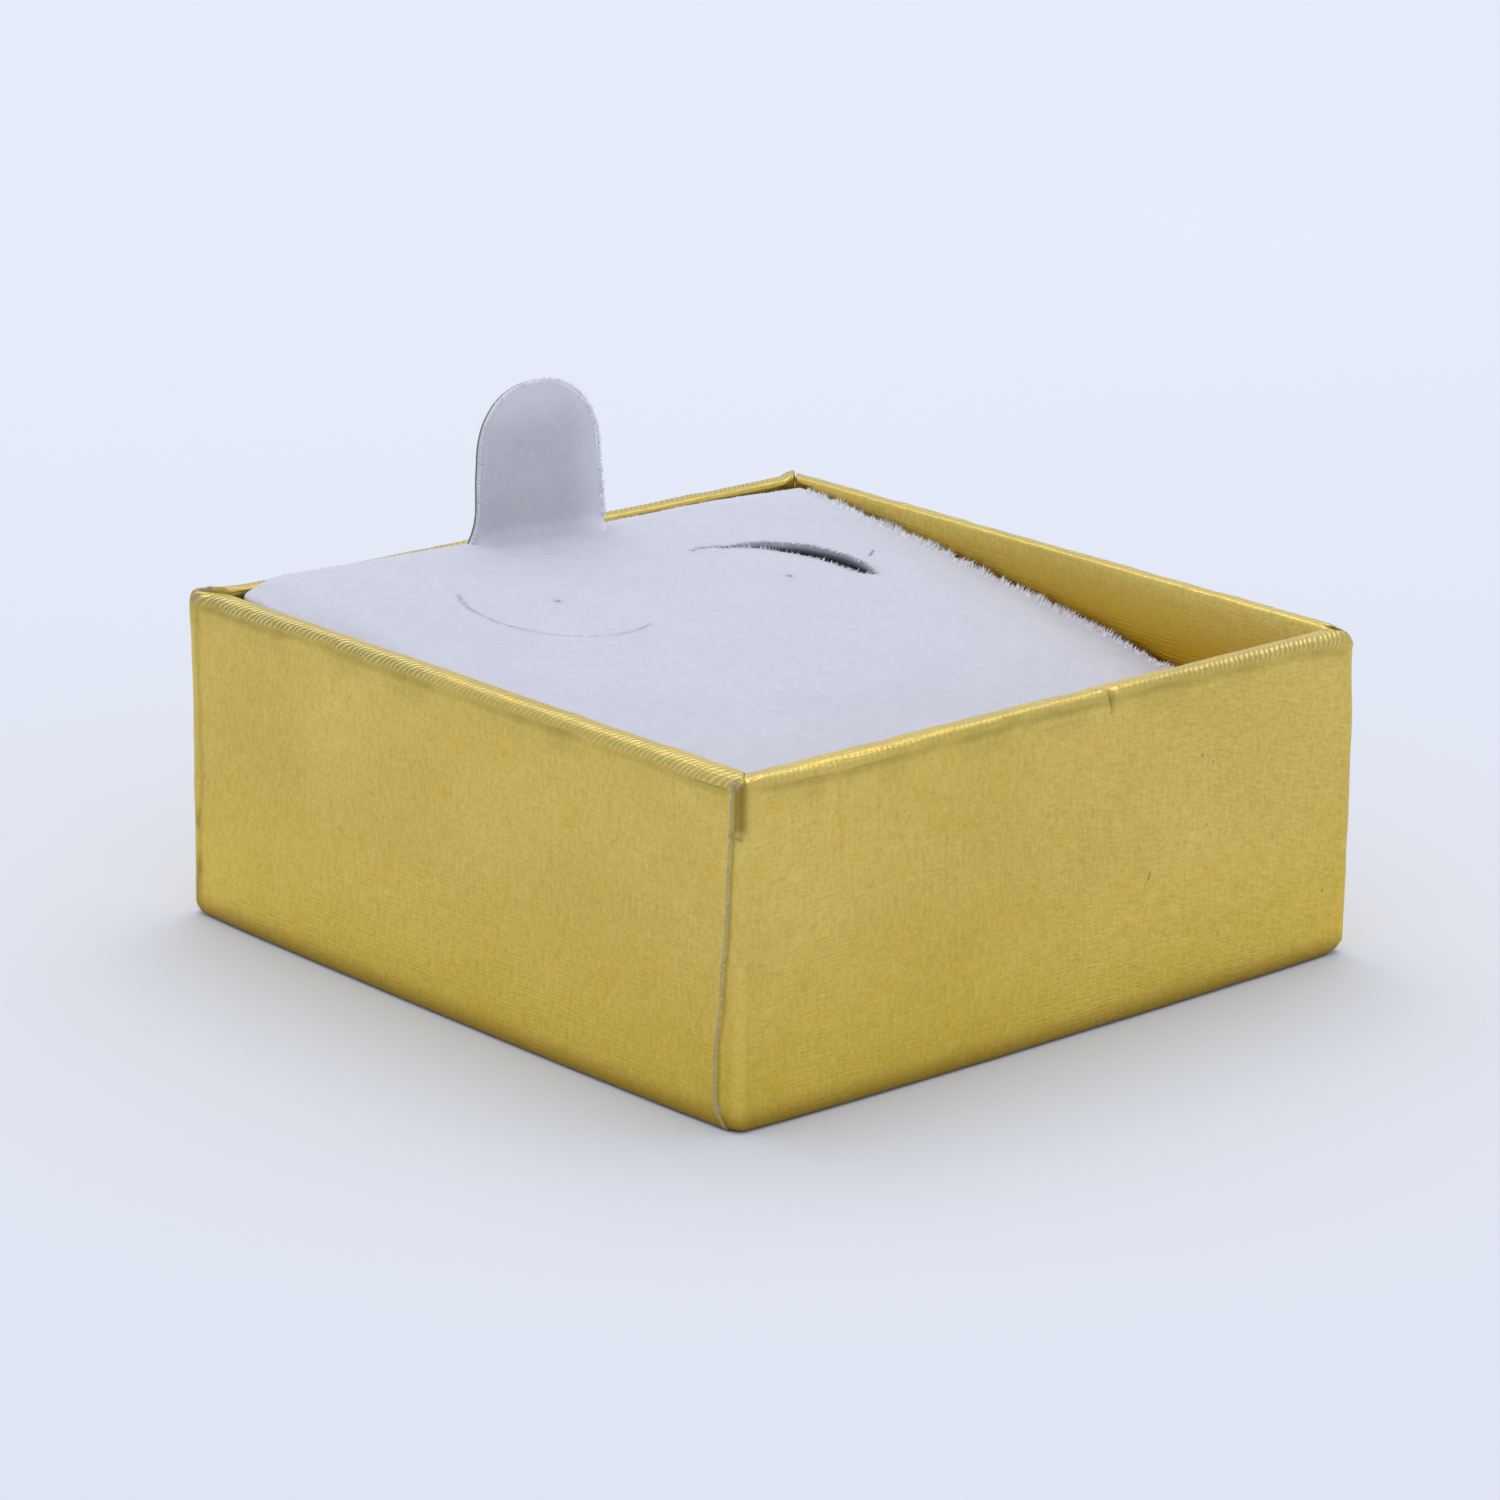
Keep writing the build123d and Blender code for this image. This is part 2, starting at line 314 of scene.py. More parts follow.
    # glue stains and a small brown spot, and painted shade that darkens the holes, slits and folds at the
    # rim's corners
    colour = s.mix(stained_and_shaded, colour, glue_and_shade)
    dull = s.math("MAXIMUM", s.math("MAXIMUM", bare, stained_and_shaded), s.math("MULTIPLY", scuffed, 0.8))
    roughness = s.math("ADD", s.spread(patches, 0.3, 0.7, 0.30, 0.38),
                       s.spread(mottle, 0.3, 0.7, 0.0, 0.10))
    roughness = s.math("MAXIMUM", roughness, s.math("MULTIPLY", dull, 0.85))
    return s.finish(Base_Color=colour, Metallic=s.math("SUBTRACT", 1.0, dull, clamp=True),
                    Roughness=roughness, Normal=crumple)


THREAD_ALONG = 0.427
THREAD_SLANT = 0.30         # how far the slanting threads fall, in radians
THREAD_UP = 0.28
FRONT_SHEET = 48.2          # how far along the sheet the front wall ends
SHEET_INSIDE = 25.3         # how far up the sheet the inside of the tray begins
GOLD_DEEP = (0.695, 0.490, 0.096)
GOLD_LIGHT = (0.820, 0.592, 0.145)
GOLD_GREEN = (0.700, 0.572, 0.125)
GOLD_ORANGE = (0.800, 0.500, 0.085)
GOLD_INSIDE_PAINTED_SHADE = (0.585, 0.335, 0.018)
GOLD_DARK_GRAIN_AND_SHADE = (0.42, 0.28, 0.035)
GOLD_OLIVE_PAINTED_SHADE = (0.400, 0.300, 0.060)
GOLD_PAINTED_BROWN_SHADE = (0.170, 0.080, 0.004)
GOLD_RIM_PAINTED_SHADE = (0.560, 0.425, 0.105)
GOLD_LOW_PAINTED_REFLECTION = (0.775, 0.532, 0.048)
GOLD_PALE_WEAR_AND_HIGHLIGHT = (0.880, 0.740, 0.320)
GOLD_GLINT = (0.985, 0.880, 0.470)
PAPER_CORE_DARK = (0.34, 0.275, 0.19)
PAPER_CORE_LIGHT = (0.47, 0.405, 0.31)
GLUE_AND_SHADE_DARK = (0.055, 0.035, 0.013)
GLUE_AND_SHADE_LIGHT = (0.17, 0.12, 0.04)
SCUFF_BROWN = (0.38, 0.21, 0.10)
SCUFF_HALF_WIDTH = 0.12
# place on the front wall, half its length, and its lean
SCUFFS = (
    ((7.5, -25.25, 8.4), 0.42, 0.30),
    ((11.65, -25.25, 15.1), 0.12, 0.0),
    ((12.6, -25.25, 14.5), 0.14, -0.4),
    ((12.25, -25.25, 10.7), 0.10, 0.0),
    ((22.7, -25.25, 4.4), 0.18, 0.2),
)


def velvet():
    """White flocked velvet: soft nap with patches where it leans, and single fibres."""
    s = Shader("white_flock")
    place = s.place()
    fibres = s.noise(place, 9000.0, 3.0, 0.7)
    tufts = s.noise(place, 1500.0, 3.0, 0.6)
    nap = s.noise(place, 210.0, 3.0, 0.55)
    drift = s.noise(place, 48.0, 2.0, 0.5)
    lean = s.math("ADD", s.math("MULTIPLY", nap, 0.45), s.math("MULTIPLY", drift, 0.55))
    colour = s.mix(s.spread(lean, 0.35, 0.65), VELVET_SHADE, VELVET_LIGHT)
    colour = s.mix(s.spread(tufts, 0.62, 0.40, 0.0, 0.16), colour, VELVET_DEEP)
    colour = s.mix(s.spread(fibres, 0.60, 0.35, 0.0, 0.20), colour, VELVET_DEEP)
    # painted highlight where marked pale
    colour = s.mix(s.math("MULTIPLY", s.attribute("pale"), 0.95, clamp=True), colour, VELVET_PAINTED_HIGHLIGHT)
    # painted shade where marked press, in the cuts and over the tab's face; also a darker patch round each
    # pin hole
    colour = s.mix(s.math("MULTIPLY", s.attribute("press"), 0.85, clamp=True), colour, VELVET_PAINTED_SHADE)
    nap_bump = s.bump(lean, 0.25, 0.0006)
    bump = s.bump(s.math("MULTIPLY_ADD", tufts, 1.2, fibres), 0.35, 0.00010, nap_bump)
    return s.finish(Base_Color=colour, Normal=bump, Roughness=0.95,
                    Sheen_Weight=0.18, Sheen_Roughness=0.5, Specular_IOR_Level=0.12)


VELVET_LIGHT = (0.728, 0.712, 0.740)
VELVET_SHADE = (0.684, 0.669, 0.698)
VELVET_PAINTED_HIGHLIGHT = (0.890, 0.875, 0.895)     # painted highlight on the tab's top and edges, where its pile catches the light
VELVET_DEEP = (0.50, 0.49, 0.53)
# colour of the painted shade
VELVET_PAINTED_SHADE = (0.17, 0.16, 0.165)


def loose_flock():
    """Single fibres that stand off the cut edges: painted paler than the nap, for the light that gets
    round them.
    """
    s = Shader("loose_flock")
    place = s.place()
    clumps = s.noise(place, 1400.0, 3.0, 0.6)
    strands = s.noise(place, 7000.0, 2.0, 0.6)
    colour = s.mix(s.spread(clumps, 0.35, 0.65), FLOCK_SHADE, FLOCK_LIGHT)
    # painted shade where marked press
    colour = s.mix(s.math("MULTIPLY", s.attribute("press"), 0.9), colour, VELVET_PAINTED_SHADE)
    return s.finish(Base_Color=colour, Roughness=s.spread(strands, 0.3, 0.7, 0.85, 1.0),
                    Normal=s.bump(strands, 0.3, 0.00003), Sheen_Weight=0.4, Sheen_Roughness=0.5,
                    Specular_IOR_Level=0.12)


FLOCK_SHADE = (0.90, 0.892, 0.915)
FLOCK_LIGHT = (0.985, 0.98, 0.99)


def card_core():
    """The bare card behind the velvet: grey-brown, with flecks and a worn grain."""
    s = Shader("card_core")
    place = s.place()
    grain = s.noise(place, 3500.0, 4.0, 0.65)
    flecks = s.noise(s.scaled(place, 1, 1, 2.5), 1100.0, 3.0, 0.7)
    colour = s.mix(s.spread(grain, 0.3, 0.7), (0.15, 0.125, 0.105), (0.27, 0.24, 0.21))
    colour = s.mix(s.spread(flecks, 0.6, 0.75), colour, (0.40, 0.37, 0.33))
    return s.finish(Base_Color=colour, Roughness=s.spread(grain, 0.3, 0.7, 0.78, 0.95),
                    Normal=s.bump(grain, 0.5, 0.00005))


def grey_board():
    """Recycled greyboard: fibres, specks and a faint roller grain."""
    s = Shader("recycled_greyboard")
    place = s.place()
    pulp = s.noise(place, 900.0, 5.0, 0.65)
    fibres = s.noise(s.scaled(place, 1, 3.2, 1), 2200.0, 3.0, 0.6, 1.2)
    specks = s.node("TexVoronoi", {"Vector": place, "Scale": 620.0}).outputs["Distance"]
    colour = s.mix(s.spread(pulp, 0.3, 0.7), (0.27, 0.25, 0.22), (0.41, 0.39, 0.35))
    colour = s.mix(s.spread(fibres, 0.60, 0.72), colour, (0.52, 0.50, 0.46))
    colour = s.mix(s.spread(specks, 0.13, 0.07), colour, (0.13, 0.11, 0.10))
    return s.finish(Base_Color=colour, Roughness=s.spread(pulp, 0.3, 0.7, 0.82, 0.96),
                    Normal=s.bump(s.math("ADD", pulp, fibres), 0.45, 0.00008))


def kraft_paper():
    """Brown kraft paper with long fibres."""
    s = Shader("brown_kraft")
    place = s.place()
    fibres = s.noise(s.scaled(place, 1, 1, 0.25), 2600.0, 4.0, 0.65, 0.8)
    cloud = s.noise(place, 320.0, 3.0)
    colour = s.mix(s.spread(fibres, 0.3, 0.7), (0.33, 0.21, 0.11), (0.47, 0.33, 0.20))
    colour = s.mix(s.spread(cloud, 0.4, 0.8, 0.0, 0.5), colour, (0.38, 0.27, 0.17))
    return s.finish(Base_Color=colour, Roughness=s.spread(fibres, 0.3, 0.7, 0.7, 0.9),
                    Normal=s.bump(fibres, 0.4, 0.00004))


def open_foam():
    """Dark open-cell foam: small cells with torn walls."""
    s = Shader("dark_open_cell_foam")
    place = s.place()
    cells = s.node("TexVoronoi", {"Vector": place, "Scale": 2100.0}).outputs["Distance"]
    pores = s.node("TexVoronoi", {"Vector": place, "Scale": 950.0}).outputs["Distance"]
    cloud = s.noise(place, 500.0, 4.0, 0.6)
    colour = s.mix(s.spread(cells, 0.15, 0.6), (0.012, 0.012, 0.014), (0.075, 0.075, 0.082))
    colour = s.mix(s.spread(pores, 0.16, 0.05), colour, (0.004, 0.004, 0.005))
    colour = s.mix(s.spread(cloud, 0.5, 0.8, 0.0, 0.5), colour, (0.10, 0.10, 0.108))
    relief = s.math("ADD", cells, s.math("MULTIPLY", pores, 0.8))
    return s.finish(Base_Color=colour, Roughness=s.spread(cloud, 0.3, 0.7, 0.85, 1.0),
                    Normal=s.bump(relief, 0.8, 0.0002))


def pale_floor():
    """Plain pale studio board."""
    s = Shader("pale_floor")
    place = s.place()
    cloud = s.noise(place, 6.0, 2.0, 0.5)
    tooth = s.noise(place, 900.0, 2.0, 0.5)
    colour = s.mix(s.spread(cloud, 0.3, 0.7), FLOOR_SHADE, FLOOR_LIGHT)
    return s.finish(Base_Color=colour, Roughness=0.9, Specular_IOR_Level=0.15,
                    Normal=s.bump(tooth, 0.05, 0.0001))


FLOOR_LIGHT = (0.800, 0.805, 0.815)
FLOOR_SHADE = (0.785, 0.790, 0.802)

foil_material = gold_foil()
velvet_material = velvet()
flock_material = loose_flock()
core_material = card_core()
board_material = grey_board()
kraft_material = kraft_paper()
foam_material = open_foam()

# ======== the tray's outline, walked anticlockwise from the left end of the front wall ========
# each wall: its way along, its outward normal, half its straight length, its distance from the centre
HALF_X, HALF_Y = WIDTH / 2, DEPTH / 2
walls = (
    ((1, 0), (0, -1), HALF_X - CORNER_RADIUS, HALF_Y),
    ((0, 1), (1, 0), HALF_Y - CORNER_RADIUS, HALF_X),
    ((-1, 0), (0, 1), HALF_X - CORNER_RADIUS, HALF_Y),
    ((0, -1), (-1, 0), HALF_Y - CORNER_RADIUS, HALF_X),
)
FRONT, RIGHT, REAR, LEFT = range(4)
arc_length = CORNER_RADIUS * math.pi / 2
section_lengths = []
for _, _, half, _ in walls:
    section_lengths += [2 * half, arc_length]
section_starts = np.concatenate([[0], np.cumsum(section_lengths)])
AROUND = section_starts[-1]
# middle of each corner: front right, rear right, rear left, front left
corner_middles = section_starts[1:8:2] + arc_length / 2
FRONT_RIGHT, REAR_RIGHT, REAR_LEFT, FRONT_LEFT = range(4)
# from distance along the outline to distance from the sharp corner
ARC_SIDE = CORNER_RADIUS - arc_length / 2
INNER_PULL = 6.0        # how far from a corner the columns move to follow the smaller inner outline


def outline(s, inset):
    """Places on the outline moved inwards by inset, and their outward normals."""
    s = np.mod(s, AROUND)
    section = np.clip(np.searchsorted(section_starts, s, side="right") - 1, 0, 7)
    run = s - section_starts[section]
    radius = np.maximum(CORNER_RADIUS - inset, INNER_CORNER)
    place, normal = np.zeros((len(s), 2)), np.zeros((len(s), 2))
    for k, (way, out, half, distance) in enumerate(walls):
        way, out = np.array(way, float), np.array(out, float)
        shift = CORNER_RADIUS - inset - radius
        straight = section == 2 * k
        c = run[straight] - half
        pull = np.clip((np.abs(c) - (half - INNER_PULL)) / INNER_PULL, 0, 1) ** 2
        c = c + np.sign(c) * (shift * pull if np.isscalar(shift) else shift[straight] * pull)
        gap = distance - (inset if np.isscalar(inset) else inset[straight])
        place[straight] = c[:, None] * way + np.reshape(gap, (-1, 1)) * out
        normal[straight] = out
        bend = section == 2 * k + 1
        angle = run[bend] / CORNER_RADIUS
        facing = np.cos(angle)[:, None] * out + np.sin(angle)[:, None] * way
        reach = half + (shift if np.isscalar(shift) else shift[bend])
        level = distance - (inset if np.isscalar(inset) else inset[bend])
        r = radius if np.isscalar(radius) else radius[bend]
        place[bend] = (
            np.reshape(reach, (-1, 1)) * way
            + np.reshape(level - r, (-1, 1)) * out
            + np.reshape(r, (-1, 1)) * facing
        )
        normal[bend] = facing
    return place, normal


def stations(length, fine_spots, fine, coarse, reach):
    """Distances from 0 to length, close together near the fine spots."""
    found = [0.0]
    while found[-1] < length:
        gap = min(abs(found[-1] - spot) for spot in fine_spots)
        found.append(found[-1] + min(coarse, fine + max(0.0, gap - reach) * 0.13))
    found = np.array(found)
    return (found * length / found[-1])[:-1]


DENT_X = 3.85           # the folded dent in the front rim
FOLD_X = 5.5            # the faint fold under it
SEAM_COLUMN, END_COLUMN, WALL_COLUMN = 0.075, 0.13, 0.5
ARC_COLUMNS = 15
columns = []
for k, (_, _, half, _) in enumerate(walls):
    seamed = k in (RIGHT, LEFT)
    spots = [0.0, 2 * half]
    if k == FRONT:
        spots += [half + DENT_X, half + FOLD_X]
    straight = stations(2 * half, spots, SEAM_COLUMN if seamed else END_COLUMN, WALL_COLUMN,
                        1.9 if seamed else 0.9)
    columns.append(section_starts[2 * k] + straight)
    columns.append(section_starts[2 * k + 1] + np.arange(ARC_COLUMNS) * arc_length / ARC_COLUMNS)
columns = np.concatenate(columns)
COLUMNS = len(columns)


def from_corner(s, corner):
    """Signed distance along the outline from the middle of a corner, in mm."""
    return np.mod(s - corner_middles[corner] + AROUND / 2, AROUND) - AROUND / 2


# ---- the seams: on the left and right walls the foil's own end lies over a flap that
# comes round the corner; distance of that edge from the sharp corner, by height ----
SEAM_FRONT_LEFT = ((0.1, 0.9), (0.45, 1.2), (1.1, 1.80), (4.85, 1.78), (7.1, 1.5), (10.9, 1.3),
                   (15.0, 1.08), (17.8, 0.8), (20.4, 0.83))
SEAM_REAR_LEFT = ((0.3, 1.15), (1.0, 0.75), (2.2, 0.74), (2.6, 0.95), (4.0, 0.97), (6.1, 0.83),
                  (8.0, 1.12), (14.0, 1.0), (20.4, 0.9))
SEAM_FRONT_RIGHT = ((0.3, 1.2), (4.0, 1.35), (9.0, 1.1), (14.0, 1.25), (20.4, 0.95))
SEAM_REAR_RIGHT = ((0.3, 1.1), (6.0, 1.4), (12.0, 1.2), (17.0, 1.45), (20.4, 1.0))
FLAP_STEP = 0.085       # the flap lies this much lower than the panel over it
RAW_EDGE = 0.21         # width of bare paper along the panel's cut edge
SEAM_SHADOW_WIDTH = 0.17        # width of the painted shadow beside it, where the panel steps down to the flap
seams = (
    # corner, side of it on which the seam runs, its reference distance, its line
    (FRONT_LEFT, -1, 1.15, SEAM_FRONT_LEFT),
    (REAR_LEFT, 1, 0.85, SEAM_REAR_LEFT),
    (FRONT_RIGHT, 1, 1.05, SEAM_FRONT_RIGHT),
    (REAR_RIGHT, -1, 1.05, SEAM_REAR_RIGHT),
)
seam_wander = waves(10, 0.9, 5.0)


def seam_distance(line, z, corner):
    """Distance along the outline from the corner's middle to the seam, at a height."""
    heights, distances = zip(*line)
    wander = 0.035 * seam_wander(np.array([[corner * 31.0, 0.0, min(z, HEIGHT)]]))[0]
    return np.interp(z, heights, distances) - ARC_SIDE + wander


def seam_columns(z):
    """The columns at a height, moved so that they run along the seams."""
    moved = columns.copy()
    for corner, side, reference, line in seams:
        distance = side * from_corner(columns, corner)
        shift = seam_distance(line, z, corner) - reference
        moved += side * shift * hump(distance, reference, 1.0) * smooth(distance, -0.6, 0.3)
    return moved


# ---- the crease under the rim, where the foil leaves the board's rounded edge ----
CREASE_FRONT = ((-23.3, 19.90), (-20.2, 19.70), (-16.2, 19.65), (-9.0, 19.85), (-3.8, 19.95),
                (0.0, 19.98), (7.3, 19.95), (11.0, 19.90), (20.6, 19.85), (22.9, 19.4))
CREASE_LEFT = ((-23.7, 19.75), (-22.6, 19.70), (-20.8, 19.60), (-16.7, 19.75), (-10.0, 19.80),
               (0.0, 19.80), (12.0, 20.0), (24.0, 19.8))
CREASE_LEVEL = 19.8
# how far the foil's own thickness and glue lift the rim above the board: front, right, rear, left
RIM_SWELL = (0.10, 0.20, 0.05, 0.20)
# how far each upright corner stands out of its rounding: front right, rear right, rear left, front left
CORNER_PROUD = (0.27, 0.18, 0.31, 0.10)
# and how much of that is added or lost at the rim
CORNER_AT_RIM = (-1.0, -0.5, 0.45, 0.0)
FLARE = 0.42            # how far the walls stand out at their foot, between the corners
SEAM_STRENGTH = {FRONT_LEFT: 1.0, REAR_LEFT: 0.45, FRONT_RIGHT: 0.6, REAR_RIGHT: 0.6}
broad = waves(14, 7.0, 26.0)
medium = waves(22, 2.2, 7.0)
small = waves(26, 0.7, 2.0)
crease_wave = waves(12, 1.6, 6.0)
crease_strength = waves(12, 2.0, 9.0)
rim_wave = waves(16, 1.2, 8.0)
MARKS = ("raw", "stain_and_shade", "wear_and_highlight", "shade", "rim", "inside", "foot")


def tray_skin(profile, depth=0.0, recess=0.0):
    """Points of a layer of the tray wall. Each profile row is (inset, height, outward part and
    upward part of its normal, which zone). depth is how far the layer lies under the foil's face.
    Gives the points and the marks, row by row."""
    points, rows = [], {name: [] for name in MARKS}
    for inset, z, n_out, n_up, zone in profile:
        s = seam_columns(min(z, HEIGHT) if zone != "inside" else HEIGHT)
        flat, normal = outline(s, inset)
        place = np.column_stack([flat, np.full(len(s), z)])
        level = np.column_stack([flat, np.zeros(len(s))])
        corner = {k: from_corner(s, k) for k in range(4)}
        near = np.min(np.abs(np.stack([corner[k] for k in range(4)])), axis=0)
        x, y = flat[:, 0], flat[:, 1]
        on_front = (normal[:, 1] < -0.7).astype(float)
        out, lift, flare = (np.zeros(len(s)) for _ in range(3))
        m = {name: np.zeros(len(s)) for name in MARKS}
        high = smooth(z, 17.5, 19.6)
        outside = zone in ("wall", "rim", "base")
        if outside:
            # the wall is a touch hollow between its corners, and the foil is not quite flat
            hollow = 1 - np.exp(-near / 7.0)
            body = smooth(z, 0.3, 4.0) * (1 - smooth(z, 18.5, 20.0))
            out -= 0.05 * hollow * body
            flare = FLARE * hollow * (1 - smooth(z, 0.0, 8.0))
            out += (0.022 * broad(place) + 0.011 * medium(place) + 0.004 * small(place)) * (
                0.3 + 0.7 * body)
            over_edge = 1 - smooth(inset, 0.1, 0.6)
            for k in range(4):
                proud = CORNER_PROUD[k] * (1 + CORNER_AT_RIM[k] * smooth(z, 14.0, 19.4))
                out += proud * hump(corner[k], 0.0, 0.62) * smooth(z, 0.0, 0.7) * over_edge
            # painted dark brown shade at the foot of the walls
            m["foot"] += 0.80 * (1 - smooth(z, -0.4, 1.7))
            # paler along the upright corners: wear and painted highlight
            m["wear_and_highlight"] += 0.35 * hump(near, 0.0, 0.25) * smooth(z, 1.5, 3.0)
        if zone == "inside":
            out += 0.03 * broad(place) + 0.014 * medium(place) + 0.006 * small(place)
            out -= 0.03
            # the turned-in foil stands off the rear wall near the left corner
            off_corner = corner[REAR_LEFT]
            out += 0.38 * hump(off_corner, -2.6, 1.7) * (off_corner < 0) * smooth(z, 14.0, 17.5)
            m["raw"] += smooth(z, TURN_IN_END + 0.12, TURN_IN_END)
            # marks the inner walls for their painted shade and reflection
            m["inside"] += smooth(HEIGHT - z, 0.3, 0.9)
        if zone in ("wall", "rim"):
            # the rim stands a little above the board, and the crease runs under it
            share = [np.clip((normal @ np.array(out_way)), 0, 1) ** 2 for _, out_way, _, _ in walls]
            swell = sum(part * size for part, size in zip(share, RIM_SWELL))
            lift += swell * smooth(z, 19.9, 20.35) * smooth(inset, 0.0, 0.8)
            line = np.where(
                on_front > 0, np.interp(x, *zip(*CREASE_FRONT)), CREASE_LEVEL)
            line = np.where(normal[:, 0] < -0.7, np.interp(y, *zip(*CREASE_LEFT)), line)
            line = line + 0.05 * crease_wave(level)
            vary = crease_strength(level)
            strength = np.clip(0.105 + 0.040 * vary, 0.03, 0.17)
            strength *= smooth(near, 0.5, 1.6) * np.where(
                on_front > 0, 0.75 + 0.5 * smooth(x, 0.0, 10.0), 1.15)
            over = 1 - smooth(inset, 0.35, 0.9)
            out -= strength * hump(z, line, 0.20) * over
            out += 0.060 * hump(z, line + 0.42, 0.24) * over
            out += 0.30 * strength * hump(z, line - 0.42, 0.24) * over
            out += 0.012 * rim_wave(place) * high
            soft = 0.75 + 0.25 * np.clip(vary, -1, 1)
            # painted shade along the crease, and a broad faint band of it below
            m["shade"] += 0.62 * soft * hump(z, line - 0.02, 0.26) * over * smooth(near, 0.3, 1.2)
            m["shade"] += 0.22 * hump(z, line - 0.75, 0.55) * over * np.clip(vary, 0, 1)
            on_front_side = 0.12 + 0.45 * smooth(x, 3.0, 20.0) - 0.25 * smooth(x, 22.0, 24.2)
            on_left_side = 0.35 + 0.65 * smooth(y, 0.0, 5.0) + 0.20 * smooth(-y, 10.0, 18.0)
            on_side = (share[RIGHT] + on_left_side * share[LEFT] + on_front_side * share[FRONT]
                       + 0.6 * share[REAR])
            m["rim"] += on_side * smooth(z - line, 0.10, 0.30) * (1 - smooth(inset, 0.75, 1.15))
            # paler towards the rim's top: wear and painted highlight
            m["wear_and_highlight"] += 0.15 * smooth(z, 19.7, 20.3)
            # folded dent in the front rim, and the faint fold that runs down from it
            dent_half = 0.12 + 0.42 * np.clip((z - 19.15) / 1.25, 0, 1)
            away = np.abs(x - DENT_X - 0.10 * (z - 19.2))
            dent_here = on_front * smooth(z, 18.95, 19.3) * (1 - smooth(inset, 0.25, 0.75))
            dent = np.clip(1 - away / dent_half, 0, 1)
            out -= 0.17 * dent_here * smooth(dent, 0.0, 0.9)
            out += 0.05 * dent_here * hump(away, dent_half + 0.12, 0.14)
            # painted shade in the dent
            m["shade"] += 0.55 * dent_here * smooth(dent, 0.1, 0.8)
            m["rim"] *= 1 - 0.8 * dent_here * smooth(dent, 0.0, 0.4)
            fold_x = 5.14 + (13.6 - z) * 0.093
            out -= 0.016 * on_front * hump(x, fold_x, 0.14) * smooth(z, 2.5, 5.0) * (
                1 - smooth(z, 17.0, 19.0))
        if outside:
            for place_of, side, _, edge_line in seams:
                edge = seam_distance(edge_line, z, place_of)
                distance = side * corner[place_of]
                strong = SEAM_STRENGTH[place_of]
                flap = (1 - smooth(distance, edge - 0.08, edge + 0.03)) * smooth(distance, -0.45, 0.25)
                fade = strong * (1 - smooth(inset, 0.25, 0.7) if zone == "rim" else 1.0)
                out -= FLAP_STEP * flap * fade
                out += 0.022 * hump(distance, edge + 0.12, 0.22) * fade
                strip = smooth(distance, edge - 0.06, edge + 0.03) * (
                    1 - smooth(distance, edge + RAW_EDGE - 0.12, edge + RAW_EDGE + 0.02))
                m["raw"] += strip * fade * 0.68
                # painted shadow beside the raw edge, on the flap's side
                m["shade"] += 0.85 * hump(distance, edge - SEAM_SHADOW_WIDTH, SEAM_SHADOW_WIDTH) * fade
                m["stain_and_shade"] += 0.34 * hump(distance, edge - 0.05, 0.06) * fade * strong
        if zone in ("rim", "inside"):
            # mitred overlap of the foil at each corner of the rim, with painted shade in its groove on the
            # rim
            for k in range(4):
                joint = hump(corner[k], 0.05, 0.09) * smooth(inset, 0.1, 0.4)
                out -= 0.07 * joint
                m["shade"] += 0.8 * joint * (zone == "rim")
        if zone in ("wall", "rim"):
            trim_corners(z, inset, corner, out, lift, m)
        if zone in ("base", "wall"):
            # the base corner at the right is pressed in to a small facet
            right_corner = corner[FRONT_RIGHT]
            facet_top = 0.95 * (1 + right_corner / 1.45)
            facet = smooth(facet_top - z, 0.0, 0.25) * smooth(0.9 - right_corner, 0.0, 0.5)
            out -= 0.13 * facet * (right_corner > -1.6)
            # paler along the facet's top edge: wear and painted highlight
            m["wear_and_highlight"] += 0.5 * hump(facet_top - z, 0.1, 0.18) * (np.abs(right_corner) < 1.5)
        if recess:
            inside_stay = (near < STAY_REACH) * (z > STAY_LOW) * (z < STAY_HIGH) * (zone == "wall")
            out -= recess * inside_stay
        moved = out - depth
        points.append(np.column_stack([
            flat + normal * (moved * n_out + flare)[:, None],
            z + moved * n_up + lift,
        ]))
        for name in MARKS:
            rows[name].append(m[name])
    return np.array(points), {name: np.array(rows[name]) for name in MARKS}


